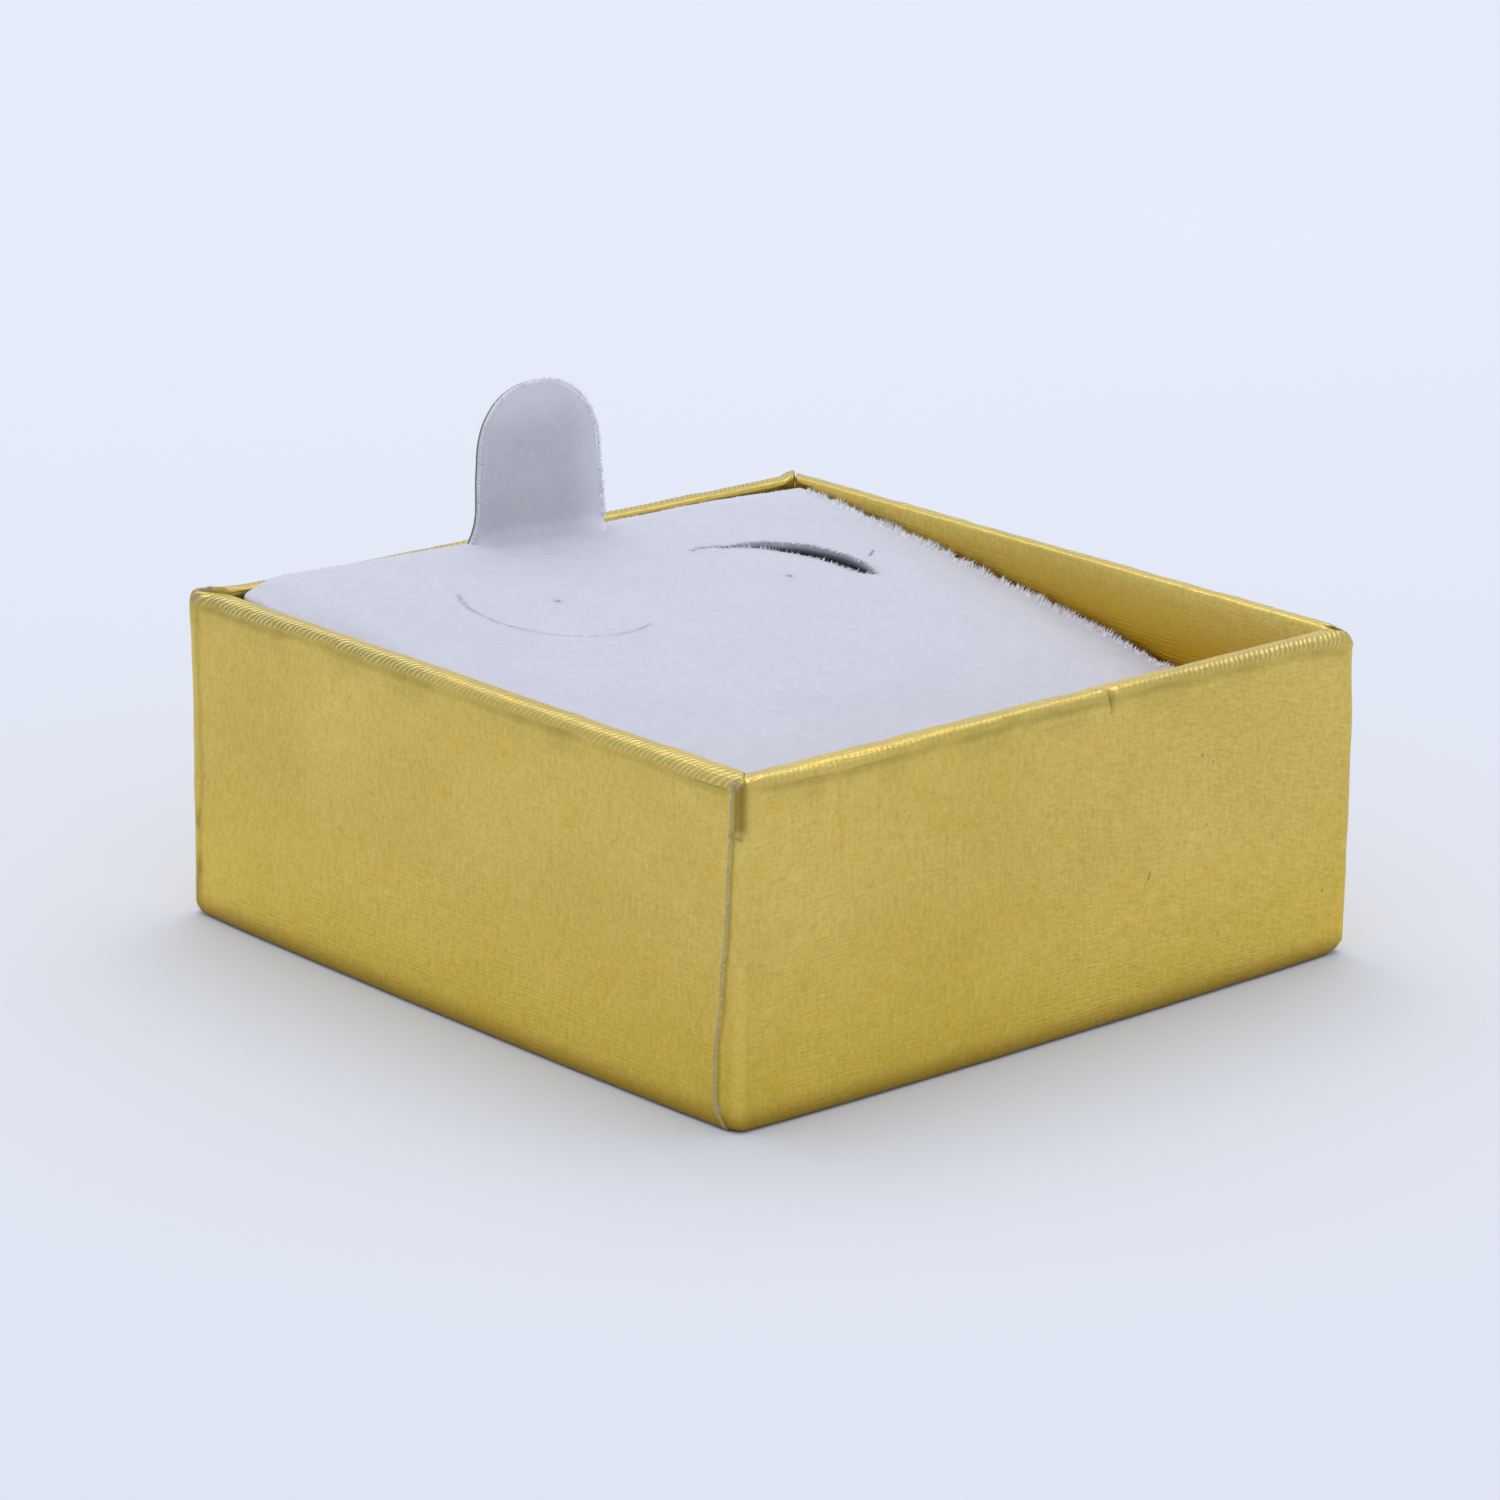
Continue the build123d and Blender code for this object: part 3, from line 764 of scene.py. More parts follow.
def trim_corners(z, inset, corner, out, lift, m):
    """What has happened to each corner of the rim in use."""
    top = smooth(z, 19.0, 20.2)
    # front corner: the foil is puckered below the rim, down to a small lump; painted shade runs down the
    # pucker, and a dark spot sits at the lump
    front = corner[FRONT_LEFT]
    pucker = smooth(z, 17.2, 17.8) * hump(front, -0.08, 0.36)
    out -= 0.11 * pucker * (1 - smooth(inset, 0.5, 0.9))
    m["shade"] += 1.0 * pucker * (1 - smooth(inset, 0.2, 0.6))
    m["foot"] += 0.42 * pucker * (1 - smooth(inset, 0.1, 0.5))
    out += 0.10 * hump(front, -0.75, 0.24) * hump(z, 17.35, 0.34)
    out += 0.10 * hump(front, 0.38, 0.24) * hump(z, 17.30, 0.30)
    out -= 0.08 * hump(front, -0.1, 0.45) * hump(z, 17.0, 0.20)
    m["stain_and_shade"] += 0.62 * hump(front, -0.15, 0.55) * hump(z, 17.20, 0.24)
    m["raw"] += 0.7 * hump(front, -0.38, 0.22) * hump(inset, 0.12, 0.24) * (z > 20.0)
    m["stain_and_shade"] += 0.9 * hump(front, 0.0, 0.16) * hump(inset, 1.2, 0.2)
    # left corner: its end is round, the rear rim stands up, and a slit opens between the two rims; the
    # slit is painted dark, with painted shade round it and darker spots beside the seam at three heights
    left = corner[REAR_LEFT]
    lift += 0.16 * top * hump(left, 0.10, 0.75) * (1 - smooth(inset, 0.0, 0.9))
    lift += 0.46 * top * np.exp(-np.clip(-left - 0.3, 0, None) / 3.2) * (
        1 - smooth(left, -0.30, 0.10)) * smooth(inset, 0.1, 0.8)
    m["stain_and_shade"] += 0.85 * top * hump(left, 0.22, 0.10) * smooth(inset, 0.05, 0.3) * (inset < 0.95)
    m["raw"] += 0.85 * top * hump(left, -0.06, 0.16) * smooth(inset, 0.05, 0.3) * (inset < 0.8)
    m["raw"] += 0.80 * top * hump(left, 0.40, 0.14) * hump(inset, 0.10, 0.16)
    m["shade"] += 0.8 * top * hump(left, 0.10, 0.32)
    m["shade"] += 0.8 * hump(left, 0.42, 0.30) * (
        hump(z, 6.1, 0.5) + hump(z, 3.0, 0.8) + hump(z, 1.6, 0.7))
    # back corner: a peak on the rear rim, and a notch between it and the side rim; the corner fold is
    # painted dark with painted shade beside it on the rear rim, and the notch is paler, as wear and
    # painted highlight
    back = corner[REAR_RIGHT]
    lift += 0.24 * top * smooth(back, -0.05, 0.18) * (1 - 0.8 * smooth(back, 0.95, 1.7)) * np.exp(
        -np.clip(back - 0.9, 0, None) / 1.8)
    lift -= 0.34 * top * hump(back, -0.20, 0.24)
    m["stain_and_shade"] += 0.85 * top * hump(back, 0.05, 0.12) * smooth(inset, 0.2, 0.9)
    m["wear_and_highlight"] += 1.2 * top * hump(back, -0.55, 0.35)
    m["shade"] += 0.7 * top * hump(back, 0.35, 0.30) * smooth(inset, 0.2, 0.9)
    # right corner: a small hole where the turned-in foil has opened, its tip bent down; the hole is
    # painted dark
    right = corner[FRONT_RIGHT]
    hole = hump(right, 0.95, 0.42) * hump(inset, 0.72, 0.34) * (z > 19.8)
    out -= 0.42 * hole
    m["stain_and_shade"] += 1.5 * hole
    m["foot"] += 0.6 * hole
    m["raw"] += 0.9 * hump(right, 2.05, 0.26) * hump(inset, 0.25, 0.26) * (z > 19.9)
    m["raw"] += 0.7 * hump(right, 0.55, 0.20) * hump(inset, 0.5, 0.26) * (z > 19.9)
    lift -= 0.26 * top * np.clip(1 - np.abs(right) / 1.1, 0, 1)


def half_circle(centre_inset, centre_z, radius, first, last, count, zone):
    rows = []
    for angle in np.radians(np.linspace(first, last, count)):
        rows.append((centre_inset - radius * math.cos(angle), centre_z + radius * math.sin(angle),
                     math.cos(angle), math.sin(angle), zone))
    return rows


def tray_profile(wall_heights, round_steps, inner_heights, under_insets):
    """Rows from under the base, up the outside, over the rim and down inside."""
    rows = [(inset, 0.0, 0.0, -1.0, "under") for inset in under_insets]
    rows += half_circle(FOOT_RADIUS, FOOT_RADIUS, FOOT_RADIUS, -90, 0, round_steps + 1, "base")
    rows += [(0.0, z, 1.0, 0.0, "wall") for z in wall_heights]
    top = HEIGHT - RIM_RADIUS
    rows += half_circle(RIM_RADIUS, top, RIM_RADIUS, 0, 90, round_steps + 1, "rim")
    middle = WALL - INNER_RIM_RADIUS
    rows += [(RIM_RADIUS + share * (middle - RIM_RADIUS), HEIGHT, 0.0, 1.0, "rim")
             for share in (0.25, 0.5, 0.75)]
    rows += half_circle(middle, HEIGHT - INNER_RIM_RADIUS, INNER_RIM_RADIUS, 90, 180, round_steps, "rim")
    rows += [(WALL, z, -1.0, 0.0, "inside") for z in inner_heights]
    return rows


# ---- foil wrap: a closed sheet with its outer and inner faces ----
outer_heights = np.concatenate([
    np.arange(0.5, 3.0, 0.25), np.arange(3.2, 16.4, 0.55), np.arange(16.6, 18.4, 0.15),
    np.arange(18.5, 19.75, 0.1),
])
outer_rows = tray_profile(outer_heights, 7, np.concatenate([
    np.arange(19.4, 16.0, -0.5), np.arange(15.6, 6.0, -1.2), [5.7, 5.52, TURN_IN_END]]),
    (4.0, 2.0, 1.2))
outer_points, foil_marks = tray_skin(outer_rows)
kept = sorted({*range(0, 3), *range(3, 11, 2), 10, *range(11, len(outer_rows), 5),
               *range(len(outer_rows) - 40, len(outer_rows) - 18, 2), len(outer_rows) - 1})
inner_rows = [outer_rows[k] for k in kept]
inner_points, _ = tray_skin(inner_rows, depth=FOIL)

n_out, n_in = len(outer_rows), len(inner_rows)
points = np.concatenate([outer_points.reshape(-1, 3), inner_points.reshape(-1, 3)])
faces = grid_faces(n_out, COLUMNS, closed=True).tolist()
inner = grid_faces(n_in, COLUMNS, closed=True)[:, ::-1] + n_out * COLUMNS
faces += inner.tolist()
last_out, last_in = (n_out - 1) * COLUMNS, n_out * COLUMNS + (n_in - 1) * COLUMNS
for j in range(COLUMNS):
    k = (j + 1) % COLUMNS
    faces.append([last_out + j, last_out + k, last_in + k, last_in + j])
faces.append(list(range(COLUMNS))[::-1])
faces.append([n_out * COLUMNS + j for j in range(COLUMNS)])
foil = make_mesh("foil_wrap_linen", points, faces, [foil_material])
extra = len(inner_points) * COLUMNS
for name, values in foil_marks.items():
    mark(foil, name, np.concatenate([values.ravel(), np.full(extra, float(name == "raw"))]))

# sheet coordinates in millimetres: along the outline, and up the profile
steps = [math.hypot(b[0] - a[0], b[1] - a[1]) for a, b in zip(outer_rows, outer_rows[1:])]
up_sheet = np.concatenate([[0], np.cumsum(steps)])
up_all = np.concatenate([np.repeat(up_sheet, COLUMNS), np.repeat(up_sheet[kept], COLUMNS)])
along_all = np.tile(columns, n_out + n_in)
loops = len(foil.data.loops)
corner_of = np.empty(loops, np.int64)
foil.data.loops.foreach_get("vertex_index", corner_of)
u, v = along_all[corner_of], up_all[corner_of]
quads = 4 * ((n_out - 1 + n_in - 1 + 1) * COLUMNS)
quad_u = u[:quads].reshape(-1, 4)
quad_u[(quad_u.max(1) - quad_u.min(1) > AROUND / 2)[:, None] & (quad_u < AROUND / 2)] += AROUND
u[:quads] = quad_u.ravel()
# the two flat faces under the base take plain sheet coordinates
flat_xy = points[corner_of[quads:]][:, :2]
u[quads:], v[quads:] = flat_xy[:, 0], flat_xy[:, 1]
sheet_uv = foil.data.uv_layers.new(name="sheet")
sheet_uv.data.foreach_set("uv", np.column_stack([u, v]).astype(np.float32).ravel())
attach(foil, "tray")
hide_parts("foil_wrap")

# ---- greyboard: follows every dent of the foil, bare below the turned-in foil ----
board_rows = tray_profile(
    np.concatenate([[0.6, 1.2, 1.95, 2.05], np.arange(3.0, 18.3, 1.4), [18.35, 18.45],
                    np.arange(18.7, 19.75, 0.2)]),
    5, np.concatenate([np.arange(18.5, 6.0, -2.5), [5.4, 4.0, 2.6, FLOOR_TOP + 0.12]]), (4.0, 1.4))
board_points, _ = tray_skin(board_rows, depth=PAPER, recess=STAY + 0.01)
board_points = board_points.reshape(-1, 3)
floor_ring = board_points[-COLUMNS:].copy()
floor_ring[:, :2] *= 0.994
floor_ring[:, 2] = FLOOR_TOP
centre_ring = floor_ring.copy()
centre_ring[:, :2] *= 0.93
board_points = np.concatenate([board_points, floor_ring, centre_ring])
n_board = len(board_rows) + 2
faces = grid_faces(n_board, COLUMNS, closed=True).tolist()
faces.append(list(range(COLUMNS))[::-1])
faces.append([(n_board - 1) * COLUMNS + j for j in range(COLUMNS)])
board = make_mesh("greyboard_blank", board_points, faces, [board_material])
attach(board, "tray")
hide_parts("greyboard_tray")

for name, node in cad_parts.items():
    if name.startswith("corner_stay"):
        node.data.materials.clear()
        node.data.materials.append(kraft_material)

# ======== the insert ========
pitch = math.tan(math.radians(TILT))
card_x = Vector((1, 0, SIDE_SLOPE)).normalized()
card_z = Vector((-SIDE_SLOPE, -pitch, 1)).normalized()
card_y = card_z.cross(card_x)
card_origin = Vector((
    0,
    FRONT_EDGE_Y + CARD_LENGTH / 2 * math.cos(math.radians(TILT)),
    FRONT_EDGE_Z + CARD_LENGTH / 2 * math.sin(math.radians(TILT)),
))
card_axes = np.array([card_x, card_y, card_z])
half_length, half_width = CARD_LENGTH / 2, CARD_WIDTH / 2
bend_radius = (half_length**2 + CROWN**2) / (2 * CROWN)


def to_frame(local):
    """From card coordinates (right, up the slope, out of the velvet) to the frame."""
    return np.asarray(local) @ card_axes + np.array(card_origin)


# each curved cut: centre, start and sweep in degrees, gap, how far its tongue is pressed down, and
# how far the velvet outside it is raised
cuts = (
    (LEFT_CUT, 146, 150, 0.11, 0.10, 0.03),
    (RIGHT_CUT, -18, 130, 0.42, 0.70, 0.16),
)
# the open cut gapes most near its right end and closes towards its left end
GAPE = ((-0.01, 0.0), (0.0, 0.50), (0.06, 0.50), (0.12, 0.85), (0.22, 1.0), (0.43, 0.85),
        (0.58, 0.62), (0.70, 0.38), (0.80, 0.18), (0.9, 0.08), (1.0, 0.03), (1.01, 0.0))
# the closed cut shows as a broken line
CLOSED = ((-0.01, 0.0), (0.0, 0.35), (0.10, 0.75), (0.21, 1.0), (0.27, 0.5), (0.35, 1.0), (0.43, 0.7),
          (0.50, 0.25), (0.56, 0.02), (0.74, 0.02), (0.82, 0.45), (0.90, 0.75), (1.0, 0.2), (1.01, 0.0))


def gape(share, cut):
    """How open a cut is along its sweep, from 0 to 1."""
    return np.interp(share, *zip(*(GAPE if cut[0] == RIGHT_CUT else CLOSED)))


# the open cut's left end runs out flatter than its circle: how far outside it, by share of the sweep
RUN_OUT = ((0.0, 0.0), (0.82, 0.0), (0.86, 0.12), (0.92, 0.56), (0.965, 0.82), (1.0, 0.9))


def cut_radius(share, cut):
    return CUT_RADIUS + (np.interp(share, *zip(*RUN_OUT)) if cut[0] == RIGHT_CUT else 0.0)


pad_swell = waves(16, 8.0, 30.0)
pad_dimple = waves(20, 2.0, 7.0)


def cut_polar(u, v, cut):
    """Distance from a cut's centre, and the share of its sweep, for places on the card."""
    (cu, cv), start, sweep, *_ = cut
    turn = np.degrees(np.arctan2(v - cv, u - cu))
    return np.hypot(u - cu, v - cv), np.mod(turn - start + 90, 360) / sweep - 90 / sweep


def pad_height(u, v):
    """Height of the velvet above the card's chord."""
    u, v = np.asarray(u, float), np.asarray(v, float)
    flat = np.column_stack([u, v, np.zeros(len(u))])
    height = CROWN - bend_radius + np.sqrt(bend_radius**2 - v**2)
    height = height + 0.035 * pad_swell(flat) + 0.012 * pad_dimple(flat)
    # the card curls down a little along its right side, most at the rear corner
    height -= 0.16 * smooth(u, 15.0, half_width) * smooth(v, -16.0, 4.0) * (1 - smooth(v, 12.0, 20.0))
    height += 0.14 * smooth(v, 14.0, half_length) * smooth(u, 6.0, 14.0)
    # its left side rolls over, down to the rim
    height -= 0.80 * smooth(-u, 20.0, half_width) ** 1.5 * smooth(v, -4.0, 14.0)
    height += 0.15 * smooth(-u, -3.0, 6.0) * smooth(v, 13.0, half_length)
    for cut in cuts:
        _, _, _, _, press, lip = cut
        away, share = cut_polar(u, v, cut)
        window = gape(share, cut) * smooth(share, -0.01, 0.06)
        radius = cut_radius(share, cut)
        inside = away < radius
        height -= np.where(inside, press * window * (away / radius) ** 3.0, 0)
        height += np.where(inside, 0, lip * window * np.exp(-np.abs(away - radius) / 1.6))
    return height


def rounded_grid(half_u, half_v, radius, count_u, count_v):
    """Grid of places on a rectangle with rounded corners."""
    u, v = np.meshgrid(np.linspace(-half_u, half_u, count_u), np.linspace(-half_v, half_v, count_v))
    over_u, over_v = np.abs(u) - (half_u - radius), np.abs(v) - (half_v - radius)
    corner = (over_u > 0) & (over_v > 0)
    longest = np.maximum(over_u, over_v)
    length = np.hypot(over_u, over_v)
    scale = np.where(corner, longest / np.maximum(length, 1e-9), 1.0)
    u = np.where(corner, np.sign(u) * (half_u - radius + over_u * scale), u)
    v = np.where(corner, np.sign(v) * (half_v - radius + over_v * scale), v)
    return u, v


def slab(name, u, v, top_drop, layers, materials, slot_of_layer):
    """A closed slab over a grid: its top at the first layer, walls through the layers, and its bottom at
    the last one. Each layer is (depth, how far its edge stands out); drop lowers the top's edge."""
    count_v, count_u = u.shape
    top = np.stack([u, v, np.zeros_like(u)], axis=-1).reshape(-1, 3)
    top[:, 2] -= top_drop.ravel()
    index = np.arange(count_u * count_v).reshape(count_v, count_u)
    ring = np.concatenate([index[0, :-1], index[:-1, -1], index[-1, :0:-1], index[:0:-1, 0]])
    rim = top[ring]
    away = rim[:, :2] / np.maximum(np.linalg.norm(rim[:, :2], axis=1), 1e-9)[:, None]
    edge = np.roll(rim, -1, axis=0) - np.roll(rim, 1, axis=0)
    out = np.column_stack([edge[:, 1], -edge[:, 0]])
    out /= np.linalg.norm(out, axis=1)[:, None]
    out *= np.sign((out * away).sum(1))[:, None]
    points, faces, kinds = [top], grid_faces(count_v, count_u).tolist(), []
    kinds += [0] * len(faces)
    previous, total, n = ring, len(top), len(ring)
    for (depth, stand), kind in zip(layers[:-1], slot_of_layer[:-1]):
        level = np.column_stack([rim[:, :2] + out * stand, np.full(n, -depth)])
        points.append(level)
        current = total + np.arange(n)
        total += n
        for j in range(n):
            k = (j + 1) % n
            faces.append([previous[j], current[j], current[k], previous[k]])
            kinds.append(kind)
        previous = current
    depth, stand = layers[-1]
    bottom = top.copy()
    bottom[:, 2] = -depth
    points.append(bottom)
    under = total + ring
    for j in range(n):
        k = (j + 1) % n
        faces.append([previous[j], under[j], under[k], previous[k]])
        kinds.append(slot_of_layer[-1])
    base = grid_faces(count_v, count_u)[:, ::-1] + total
    faces += base.tolist()
    kinds += [slot_of_layer[-1]] * len(base)
    faces = [[int(k) for k in face] for face in faces]
    piece = make_mesh(name, np.concatenate(points), faces, materials)
    piece.data.polygons.foreach_set("material_index", kinds)
    return piece


def arc_cutter(name, cut, gap, top, bottom):
    """A thin curved wall that cuts along an arc; its ends are tapered."""
    (cu, cv), start, sweep, *_ = cut
    steps = 44
    turn = np.radians(np.linspace(start, start + sweep, steps))
    share = np.linspace(0, 1, steps)
    half = gap / 2 * np.clip(gape(share, cut), 0.14, 1)
    middle = cut_radius(share, cut)
    points = []
    for radius in (middle - half, middle + half):
        for height in (bottom, top):
            points.append(np.column_stack([
                cu + radius * np.cos(turn), cv + radius * np.sin(turn), np.full(steps, height)]))
    inner_low, inner_high, outer_low, outer_high = (k * steps for k in range(4))
    faces = []
    for j in range(steps - 1):
        for a, b in ((inner_low, inner_high), (inner_high, outer_high),
                     (outer_high, outer_low), (outer_low, inner_low)):
            faces.append([a + j, b + j, b + j + 1, a + j + 1])
    faces.append([inner_low, outer_low, outer_high, inner_high])
    end = steps - 1
    faces.append([inner_low + end, inner_high + end, outer_high + end, outer_low + end])
    return make_mesh(name, np.concatenate(points), faces, [])


def pin_cutter(name, cut, radius, top, bottom):
    """A small round hole at a cut's centre."""
    (cu, cv), *_ = cut
    turn = np.linspace(0, 2 * math.pi, 12, endpoint=False)
    rings = [np.column_stack([cu + radius * np.cos(turn), cv + radius * np.sin(turn),
                              np.full(12, height)]) for height in (bottom, top)]
    faces = grid_faces(2, 12, closed=True).tolist()
    faces += [list(range(12))[::-1], list(range(12, 24))]
    return make_mesh(name, np.concatenate(rings), faces, [])


def carve(piece, cutters):
    """Takes the cutters out of the piece for good, and removes them."""
    bm = bmesh.new()
    for cutter in cutters:
        bm.from_mesh(cutter.data)
    bmesh.ops.recalc_face_normals(bm, faces=bm.faces)
    tool_mesh = bpy.data.meshes.new("cutter")
    bm.to_mesh(tool_mesh)
    bm.free()
    tool = bpy.data.objects.new("cutter", tool_mesh)
    bpy.context.scene.collection.objects.link(tool)
    modifier = piece.modifiers.new("carve", "BOOLEAN")
    modifier.operation = "DIFFERENCE"
    modifier.solver = "EXACT"
    modifier.object = tool
    bpy.context.view_layer.update()
    graph = bpy.context.evaluated_depsgraph_get()
    carved = bpy.data.meshes.new_from_object(piece.evaluated_get(graph), depsgraph=graph)
    piece.modifiers.clear()
    piece.data = carved
    for used in [tool, *cutters]:
        bpy.data.objects.remove(used)
    bm = bmesh.new()
    bm.from_mesh(carved)
    bmesh.ops.triangulate(bm, faces=[f for f in bm.faces if len(f.verts) > 4])
    bm.to_mesh(carved)
    bm.free()


def vertices(piece):
    co = np.empty(len(piece.data.vertices) * 3)
    piece.data.vertices.foreach_get("co", co)
    return co.reshape(-1, 3) / MM


def set_vertices(piece, places):
    piece.data.vertices.foreach_set("co", (places * MM).ravel())
    piece.data.update()


# ---- velvet card ----
PIN_RADIUS = 0.16
EDGE_ROUND = 0.13
card_u, card_v = rounded_grid(half_width - 0.06, half_length - 0.03, 0.7, 133, 135)
edge_gap = np.minimum(half_width - np.abs(card_u), half_length - np.abs(card_v))
card = slab(
    "velvet_card_flocked", card_u, card_v, EDGE_ROUND * np.exp(-edge_gap / 0.25),
    ((0.25, 0.05), (0.46, 0.02), (CARD - 0.02, 0.0), (CARD, -0.02)),
    [velvet_material, core_material], (0, 0, 1, 1),
)
NICK_CENTRE, NICK_HALF_LENGTH, NICK_HALF_WIDTH, NICK_ANGLE = (17.8, 10.7), 0.9, 0.06, 38
cutters = []
CARD_CUT_TOP, CARD_CUT_FOOT = 2.0, -2.0     # above and below the middle of the card
for n, cut in enumerate(cuts):
    cutters.append(arc_cutter("card_cutter_%d" % n, cut, cut[3], CARD_CUT_TOP, CARD_CUT_FOOT))
    cutters.append(pin_cutter("card_pin_%d" % n, cut, PIN_RADIUS, CARD_CUT_TOP, CARD_CUT_FOOT))
nick_way = np.array([math.cos(math.radians(NICK_ANGLE)), math.sin(math.radians(NICK_ANGLE))])
nick_side = np.array([-nick_way[1], nick_way[0]])
nick_points = []
for height in (CARD_CUT_FOOT, CARD_CUT_TOP):
    for a, b in ((-1, 0), (-0.5, -1), (0.8, -1), (1, 0), (0.8, 1), (-0.5, 1)):
        spot = (np.array(NICK_CENTRE) + nick_way * NICK_HALF_LENGTH * a
                + nick_side * NICK_HALF_WIDTH * b)
        nick_points.append([*spot, height])
nick_faces = grid_faces(2, 6, closed=True).tolist() + [[5, 4, 3, 2, 1, 0], [6, 7, 8, 9, 10, 11]]
cutters.append(make_mesh("nick_cutter", nick_points, nick_faces, []))
carve(card, cutters)
local = vertices(card)
places = local.copy()
places[:, 2] += pad_height(local[:, 0], local[:, 1])
press = np.zeros(len(local))
deep = local[:, 2] < -0.3
for cut in cuts:
    away, share = cut_polar(local[:, 0], local[:, 1], cut)
    window = gape(share, cut)
    open_cut = cut[0] == RIGHT_CUT
    radius = cut_radius(share, cut)
    outside = away > radius
    # painted shade: soft over the far lip, crisp along the tongue's own edge, along the closed cut's line
    # and deep inside the cuts; and darker round each pin hole
    press += np.where(outside, 0.50, 0.62) * open_cut * window * np.exp(
        -np.abs(away - radius) / np.where(outside, 0.26, 0.20))
    press += 0.55 * (not open_cut) * window * hump(away, radius, 0.16)
    press += 1.6 * window * hump(away, radius, 0.5) * deep
    press += 0.16 * hump(away, 0.0, 0.5)
set_vertices(card, to_frame(places))
mark(card, "press", press)
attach(card, "insert")
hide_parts("velvet_card")

# ---- foam block under the card ----
FOAM_GAP = 0.03
foam_u, foam_v = rounded_grid(
    half_width - FOAM_SETBACK - 0.15, half_length - FOAM_SETBACK - 0.15, 0.8, 101, 103)
foam_layers = tuple(
    (depth, stand) for depth, stand in (
        (0.5, 0.06), (1.6, 0.02), (3.0, -0.06), (4.6, -0.13), (6.2, -0.14), (7.8, -0.06),
        (9.2, 0.04), (9.9, 0.08), (FOAM, -0.05)))
foam = slab("foam_block_open_cell", foam_u, foam_v, np.zeros_like(foam_u), foam_layers,
            [foam_material], (0,) * len(foam_layers))
cutters = []
FOAM_CUT_WIDER, FOAM_CUT_TOP, FOAM_CUT_FOOT = 1.6, 1.0, -5.2   # the slot in the foam under each cut
for n, cut in enumerate(cuts):
    cutters.append(arc_cutter(
        "foam_cutter_%d" % n, cut, cut[3] * FOAM_CUT_WIDER, FOAM_CUT_TOP, FOAM_CUT_FOOT))
carve(foam, cutters)
local = vertices(foam)
foam_pores = waves(60, 0.7, 1.6)
foam_lumps = waves(24, 3.0, 9.0)
places = local.copy()
lowered = np.clip(1 + local[:, 2] / FOAM, 0, 1)
top_height = pad_height(local[:, 0], local[:, 1]) - CARD - FOAM_GAP
places[:, 2] += top_height * lowered - (1 - lowered) * CARD
side_gap = np.minimum(half_width - FOAM_SETBACK - np.abs(local[:, 0]),
                      half_length - FOAM_SETBACK - np.abs(local[:, 1]))
at_side = 1 - smooth(side_gap, 0.2, 0.6)
rough = 0.055 * foam_pores(local) + 0.05 * foam_lumps(local)
wall_out = np.column_stack([local[:, 0] / half_width, local[:, 1] / half_length])
wall_out = np.where(np.abs(wall_out) == np.abs(wall_out).max(1)[:, None], np.sign(wall_out), 0)
places[:, :2] += wall_out * (np.minimum(rough, 0.10) * at_side)[:, None]
under = (local[:, 2] < -FOAM + 0.01).astype(float)
places[:, 2] += under * (0.05 + 0.5 * np.minimum(rough, 0.08))
set_vertices(foam, to_frame(places))
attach(foam, "insert")
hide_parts("foam_block")

# ---- pull tab ----
TAB_FRONT_Y, TAB_SHEET = 22.25, 0.5
TAB_FOOT_Z = 20.83
TAB_TIP = 9.95
TAB_SHOULDER = 5.1
LEFT_EDGE = ((-0.6, -5.65), (0.0, -5.40), (0.5, -5.12), (1.1, -4.90), (1.8, -4.78), (3.8, -4.78),
             (5.1, -4.70))
RIGHT_EDGE = ((-0.6, 5.75), (0.0, 5.58), (0.5, 5.52), (1.5, 5.44), (3.4, 5.22), (5.1, 5.04))
LEFT_SQUARENESS, RIGHT_SQUARENESS = 2.25, 2.0
TAB_LOW = -0.35                 # the foot goes this far into the card
FOOT_CURVE = 0.85               # radius with which the velvet sweeps forward into the pad
heights = np.concatenate([
    np.linspace(TAB_LOW, 1.2, 20), np.linspace(1.35, TAB_SHOULDER, 16)[:-1],
    TAB_SHOULDER + (TAB_TIP - TAB_SHOULDER) * np.sin(np.linspace(0, math.pi / 2, 34)[:-1]),
    [TAB_TIP],
])
across = np.sin(np.linspace(-math.pi / 2, math.pi / 2, 44))
tab_wave = waves(14, 3.0, 9.0)


TAB_MIDDLE = 0.15       # where the two rounded halves of the tip meet, across the tab


def tab_edges(h):
    """Left and right edge of the tab at a height."""
    left = np.interp(min(h, TAB_SHOULDER), *zip(*LEFT_EDGE))
    right = np.interp(min(h, TAB_SHOULDER), *zip(*RIGHT_EDGE))
    if h > TAB_SHOULDER:
        share = min(1.0, (h - TAB_SHOULDER) / (TAB_TIP - TAB_SHOULDER))
        left = TAB_MIDDLE + (left - TAB_MIDDLE) * (1 - share**LEFT_SQUARENESS) ** (1 / LEFT_SQUARENESS)
        right = TAB_MIDDLE + (right - TAB_MIDDLE) * (1 - share**RIGHT_SQUARENESS) ** (1 / RIGHT_SQUARENESS)
    return left, right


